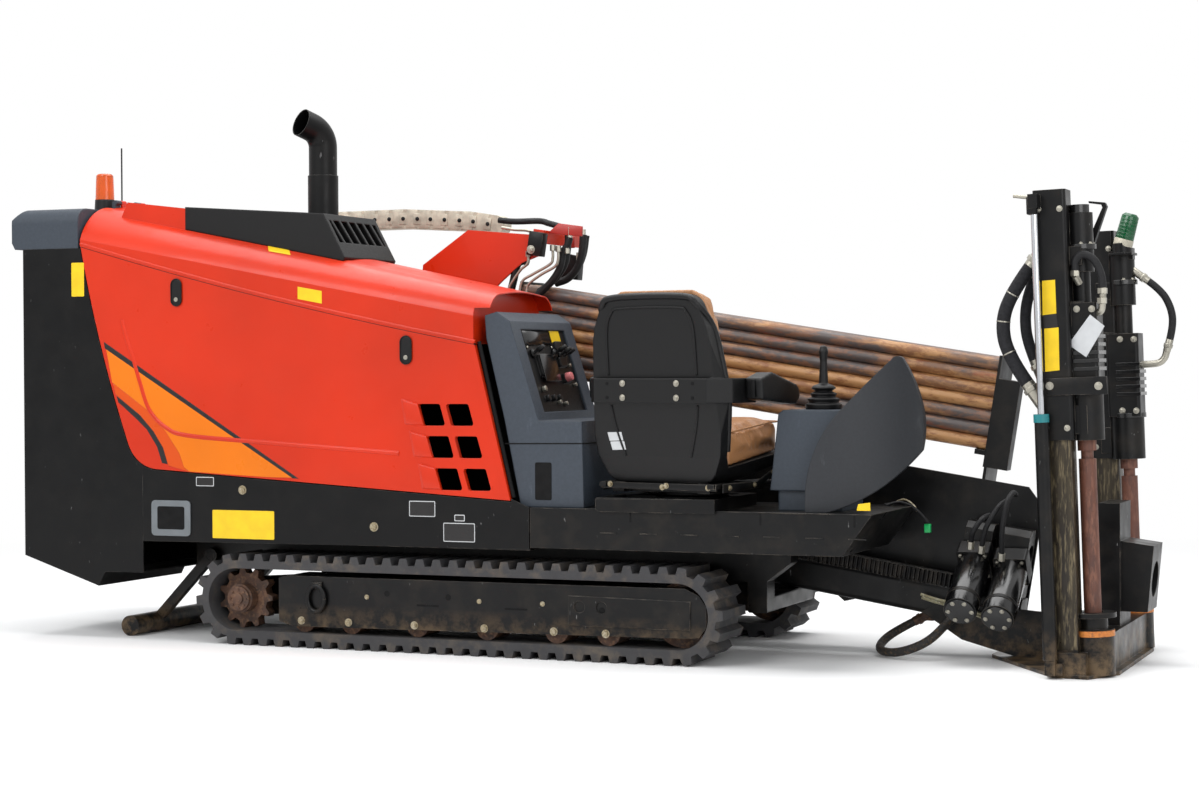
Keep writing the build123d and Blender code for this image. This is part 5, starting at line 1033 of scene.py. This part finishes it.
# Metal ends of the hoses, and steel lines beside the floor hose
ends = Piece()
for line, radius, high, low in ((OUTER_LINE, 0.0225, 0.056, 0.086), (INNER_LINE, 0.0185, 0.060, 0.080)):
    ends.ferrule(line[0], line[1], radius, high)
    ends.ferrule(line[-1], line[-2], radius, low)
ends.clip(mast_point(MAST_X - SLEEVE_HALF + 0.0050, 0, 0), MAST_AHEAD)
ends.done("bundle_ends", "right_driver", ZINC)
ends = Piece()
ends.ferrule(LOOP_LINE[0], LOOP_LINE[1], 0.0135, 0.060)
ends.ferrule(LOOP_LINE[-1], LOOP_LINE[-2], 0.0135, 0.030)
ends.tube(at_y(0.470, ((2.023, 1.048), (2.014, 1.022), (1.990, 1.005), (1.925, 1.000))), 0.0125, 14)
ends.done("loop_ends", "left_driver", ZINC, bevel=0.001)
ends = Piece()
ends.ferrule(FLOOR_LINE[0], FLOOR_LINE[1], 0.0165, 0.030)
ends.ferrule(FLOOR_LINE[-1], FLOOR_LINE[-2], 0.0165, 0.030)
ends.box((1.262, 0.120, 0.140), (0.044, 0.044, 0.056))
ends.done("floor_hose_ends", "drill_frame", RUSTY, bevel=0.002)
lines = Piece()
for shift in (0.0, 0.013):
    lines.tube([(x, 0.0215 - shift, z + shift) for x, z in (
        (1.262, 0.200), (1.310, 0.186), (1.381, 0.170), (1.470, 0.140), (1.552, 0.108))], 0.005, 8, steps=6)
lines.done("base_lines", "drill_frame", LINE_STEEL)

# Lamp: pale collar and tilted ribbed lens
LAMP_TURN = math.radians(15)
LAMP_UP = Vector((math.sin(LAMP_TURN), 0, math.cos(LAMP_TURN)))
LAMP_AT = mast_point(1.925, 0.430, 1.412)
collar, lens = Piece(), Piece()
collar.rod(LAMP_AT, LAMP_AT + LAMP_UP * 0.030, 0.0335, 36)
collar.done("lamp_collar", "left_driver", CREAM, bevel=0.002)
lens.rod(LAMP_AT + LAMP_UP * 0.030, LAMP_AT + LAMP_UP * 0.112, 0.0325, 36, 0.0300)
lens.rod(LAMP_AT + LAMP_UP * 0.1119, LAMP_AT + LAMP_UP * 0.121, 0.0300, 36, 0.0200)
for k in range(6):
    up = 0.036 + 0.012 * k
    lens.rod(LAMP_AT + LAMP_UP * up, LAMP_AT + LAMP_UP * (up + 0.004), 0.0328 - 0.0004 * k, 36)
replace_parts(lens.done("lamp_lens", "left_driver", GREEN, bevel=0.001), "green_lamp")

# Fixed hoses between the vises and the beam's side plate
hoses, fittings = Piece(), Piece()
for x, z, rise, reach, back in (
        (1.455, 0.405, 0.075, 0.050, 0.030), (1.492, 0.392, 0.130, 0.075, 0.028),
        (1.560, 0.368, 0.175, 0.030, 0.034)):
    hoses.tube([(x, -0.062, z), (x + reach * 0.3, -0.092, z + rise * 0.5), (x + reach * 0.8, -0.080, z + rise),
                (x + reach, -0.030, z + rise * 1.15), (x + reach * 0.9, back, z + rise * 1.1)], 0.009, 10)
    fittings.rod((x, -0.062, z), (x - 0.004, -0.054, z - 0.026), 0.0125, 6)
hoses.done("vise_hoses", "drill_frame", HOSE)
fittings.done("vise_fittings", "drill_frame", ZINC)

# Vises: glossy clamp cylinders with caps and bolts
SLANT = math.radians(34)
CLAMP_DIR = Vector((0, -math.cos(SLANT), -math.sin(SLANT)))
CLAMP_UP = Vector((0, -math.sin(SLANT), math.cos(SLANT)))
ACROSS = Vector((1, 0, 0))
sleeves, bolts = Piece(), Piece()
for s in (1.468, 1.596):
    at = line_point(s, 0, LINE_Y)
    sleeves.ring(at + CLAMP_DIR * 0.1045, at + CLAMP_DIR * 0.3498, 0.0560, 0.0535, 48)
    sleeves.rod(at + CLAMP_DIR * 0.3496, at + CLAMP_DIR * 0.3540, 0.0500, 40)
    for u, v in circle(0.040, 6):
        bolts.bolt(at + CLAMP_DIR * 0.3542 + ACROSS * u + CLAMP_UP * v, CLAMP_DIR, 0.0055, 0.005)
    for u in (-0.042, 0.042):
        for v in (-0.042, 0.042):
            bolts.bolt(at + CLAMP_DIR * 0.1042 + ACROSS * u + CLAMP_UP * v, CLAMP_DIR, 0.007, 0.007, False)
sleeves.done("clamp_sleeves", "drill_frame", GLOSS_BLACK, bevel=0.0015)
bolts.done("clamp_bolts", "drill_frame", ZINC)

# Bores of the stored pipes' ends, drawn as flat black discs of painted shade
bores = Piece()
for row in range(7):
    for column in range(4):
        y = PIPE_FIRST_Y + column * PIPE_PITCH
        n = PIPE_LOW + 0.023 + row * PIPE_PITCH
        for s, out in ((1.4230, 0.0006), (PIPE_REAR, -0.0006)):
            bores.rod(line_point(s, n, y), line_point(s + out, n, y), 0.0135, 20)
bores.done("pipe_bores", "drill_frame", SHADE_AND_MATTE_BLACK, "rusty_steel")

# Energy chain: link plates with their pins on both sides, along its run on the beam, round its turn and back
CHAIN_PITCH = 0.062
run = [line_point(0.24, 0.560, 0), line_point(-1.46, 0.560, 0)]
bend = line_point(-1.5, 0.652, 0)
for degrees in (245, 215, 180, 145, 110):
    turn = math.radians(degrees)
    run.append(bend + Vector((0.092 * math.cos(turn), 0, 0.092 * math.sin(turn))))
run += at_y(0, ((-1.40, 1.566), (-1.214, 1.582), (-1.05, 1.5835), (-0.900, 1.584), (-0.75, 1.577),
                (-0.617, 1.567), (-0.53, 1.5525)))
path = smooth_path(run, 24)
marks, walked = [], 0.0
for a, b in zip(path, path[1:]):
    walked += (b - a).length
    marks.append((walked, b, (b - a).normalized()))
links, pins = Piece(), Piece()
for k in range(int(walked / CHAIN_PITCH)):
    at, along = next((p, d) for w, p, d in marks if w >= (k + 0.5) * CHAIN_PITCH)
    axes = Matrix((along, Vector((0, 1, 0)), along.cross(Vector((0, 1, 0))))).transposed()
    for y, out in ((0.343, -1), (0.413, 1)):
        links.box(Vector((at.x, y + out * 0.0012, at.z)), (0.050, 0.0030, 0.070), axes)
        links.box(Vector((at.x, y + out * 0.0022, at.z)) + along * 0.024, (0.030, 0.0040, 0.044), axes)
        ahead = Vector((at.x, y, at.z)) + along * 0.026
        pins.rod(ahead, ahead + Vector((0, out * 0.0062, 0)), 0.008, 16)
links.done("chain_links", "drill_frame", CREAM, bevel=0.0015)
pins.done("chain_pins", "drill_frame", SEAT_PLASTIC)

# Arm: bracket, flange, pipes, hoses and fittings that hang from its tip
bracket, flange, fittings, hoses, covers = Piece(), Piece(), Piece(), Piece(), Piece()
bracket.box((-0.208, 0.070, 1.4565), (0.058, 0.046, 0.089), LINE_AXES)
bracket.done("arm_bracket", "carriage", BLACK_WORN, bevel=0.003)
flange.prism(at_y(0.100, (
    (-0.135, 1.533), (-0.039, 1.519), (-0.041, 1.482), (-0.128, 1.490), (-0.178, 1.498))), (0, 0.010, 0))
flange.prism(at_y(0.200, ((-0.131, 1.489), (-0.113, 1.489), (-0.113, 1.445), (-0.131, 1.445))), (0, 0.006, 0))
flange.done("arm_flange", "carriage", RED, bevel=0.002)
for points in (
        ((-0.339, 1.272), (-0.324, 1.308), (-0.284, 1.361), (-0.256, 1.384), (-0.251, 1.415)),
        ((-0.291, 1.264), (-0.276, 1.320), (-0.232, 1.346), (-0.163, 1.381), (-0.152, 1.404), (-0.152, 1.434)),
        ((-0.262, 1.264), (-0.251, 1.307), (-0.200, 1.343), (-0.145, 1.371), (-0.131, 1.394), (-0.129, 1.430))):
    fittings.tube(at_y(0.086, points), 0.0052, 10)
top_line = ((-0.368, 1.523), (-0.324, 1.515), (-0.276, 1.511), (-0.251, 1.493), (-0.251, 1.477))
fittings.tube([(x, 0.100 + 0.02 * k, z) for k, (x, z) in enumerate(top_line)], 0.006, 10)
for x, y, z0, z1 in (
        (-0.094, 0.110, 1.518, 1.479), (-0.105, 0.110, 1.452, 1.420), (-0.121, 0.300, 1.520, 1.487),
        (-0.138, 0.300, 1.433, 1.403), (-0.152, 0.086, 1.452, 1.430), (-0.129, 0.086, 1.448, 1.426),
        (-0.251, 0.086, 1.432, 1.410)):
    fittings.rod((x, y, z0), (x, y, z1), 0.0105, 6)
fittings.bolt((-0.223, 0.0465, 1.435), (0, -1, 0), 0.011, 0.009)
fittings.done("arm_fittings", "carriage", ZINC)
for y, radius, points in (
        (0.112, 0.0135, ((-0.094, 1.480), (-0.104, 1.450), (-0.121, 1.425), (-0.133, 1.372), (-0.162, 1.326),
                         (-0.206, 1.284), (-0.245, 1.255))),
        (0.150, 0.0135, ((-0.115, 1.500), (-0.120, 1.440), (-0.131, 1.385), (-0.160, 1.342), (-0.205, 1.302),
                         (-0.240, 1.280))),
        (0.300, 0.0145, ((-0.119, 1.500), (-0.126, 1.433), (-0.145, 1.375), (-0.185, 1.335), (-0.235, 1.318))),
        (0.345, 0.0145, ((-0.128, 1.500), (-0.140, 1.430), (-0.165, 1.378), (-0.205, 1.345), (-0.250, 1.335))),
        (0.235, 0.0120, ((-0.441, 1.560), (-0.374, 1.553), (-0.273, 1.552), (-0.233, 1.542), (-0.190, 1.530)))):
    hoses.tube(at_y(y, points), radius, 12)
hoses.done("arm_hoses", "carriage", HOSE)
covers.tube(at_y(0.110, (
    (-0.337, 1.276), (-0.322, 1.330), (-0.308, 1.382), (-0.286, 1.396), (-0.262, 1.392))), 0.015, 12)
covers.prism(at_y(0.330, ((-0.221, 1.435), (-0.150, 1.420), (-0.158, 1.330), (-0.262, 1.343))), (0, 0.05, 0))
covers.done("arm_covers", "carriage", SEAT_PLASTIC, bevel=0.006)


# Floor and light
def stage():
    """White floor; its far part sees some white of its own, so that it runs into the background."""
    bm = bmesh.new()
    bmesh.ops.create_grid(bm, x_segments=1, y_segments=1, size=60)
    mesh = bpy.data.meshes.new("floor")
    bm.to_mesh(mesh)
    bm.free()
    floor = bpy.data.objects.new("floor", mesh)
    floor.location = (0, 0, -0.0005)
    bpy.context.scene.collection.objects.link(floor)
    m = Shader("floor")
    m.set(Base_Color=(0.95, 0.95, 0.95, 1), Roughness=0.9, Specular_IOR_Level=0.1)
    glow = m.node("Emission", {"Color": (1, 1, 1, 1), "Strength": 1.0})
    away = m.node("VectorMath", {0: m.coords}, "Value", operation="LENGTH")
    share = m.product(m.ramp(away, 2.4, 6.0), m.node("LightPath", {}, "Is Camera Ray"))
    mixed = m.node("MixShader", {0: share, 1: m.bsdf.outputs[0], 2: glow})
    feed(m.tree, m.tree.nodes["Material Output"], {"Surface": mixed})
    mesh.materials.append(m.material)


def area_light(name, at, target, size, power):
    data = bpy.data.lights.new(name, "AREA")
    data.shape = "RECTANGLE"
    data.size, data.size_y = size
    data.energy = power
    light = bpy.data.objects.new(name, data)
    bpy.context.scene.collection.objects.link(light)
    light.location = at
    light.rotation_euler = (Vector(target) - Vector(at)).to_track_quat("-Z", "Y").to_euler()


def world():
    """White where the camera, a reflection or a lens sees it, and a softer light elsewhere."""
    made = bpy.data.worlds.new("world")
    bpy.context.scene.world = made
    made.use_nodes = True
    tree = made.node_tree
    tree.nodes.clear()
    seen = new_node(tree, "Background", {"Color": (1, 1, 1, 1), "Strength": 1.0})
    light = new_node(tree, "Background", {"Color": (0.96, 0.98, 1, 1), "Strength": 0.52})
    rays = new_node(tree, "LightPath", {}).outputs
    share = rays["Is Camera Ray"]
    for kind in ("Is Glossy Ray", "Is Transmission Ray"):
        share = new_node(tree, "Math", {0: share, 1: rays[kind]}, operation="MAXIMUM").outputs[0]
    mixed = new_node(tree, "MixShader", {0: share, 1: light.outputs[0], 2: seen.outputs[0]})
    new_node(tree, "OutputWorld", {0: mixed.outputs[0]})


stage()
world()
area_light("key", (-2.5, -6.5, 5.5), (0, 0, 0.8), (5, 3), 270)
area_light("fill", (5.5, -5.0, 3.0), (0.8, 0, 0.8), (4, 3), 110)
area_light("top", (0, 0.5, 6.0), (0, 0, 0), (7, 5), 420)
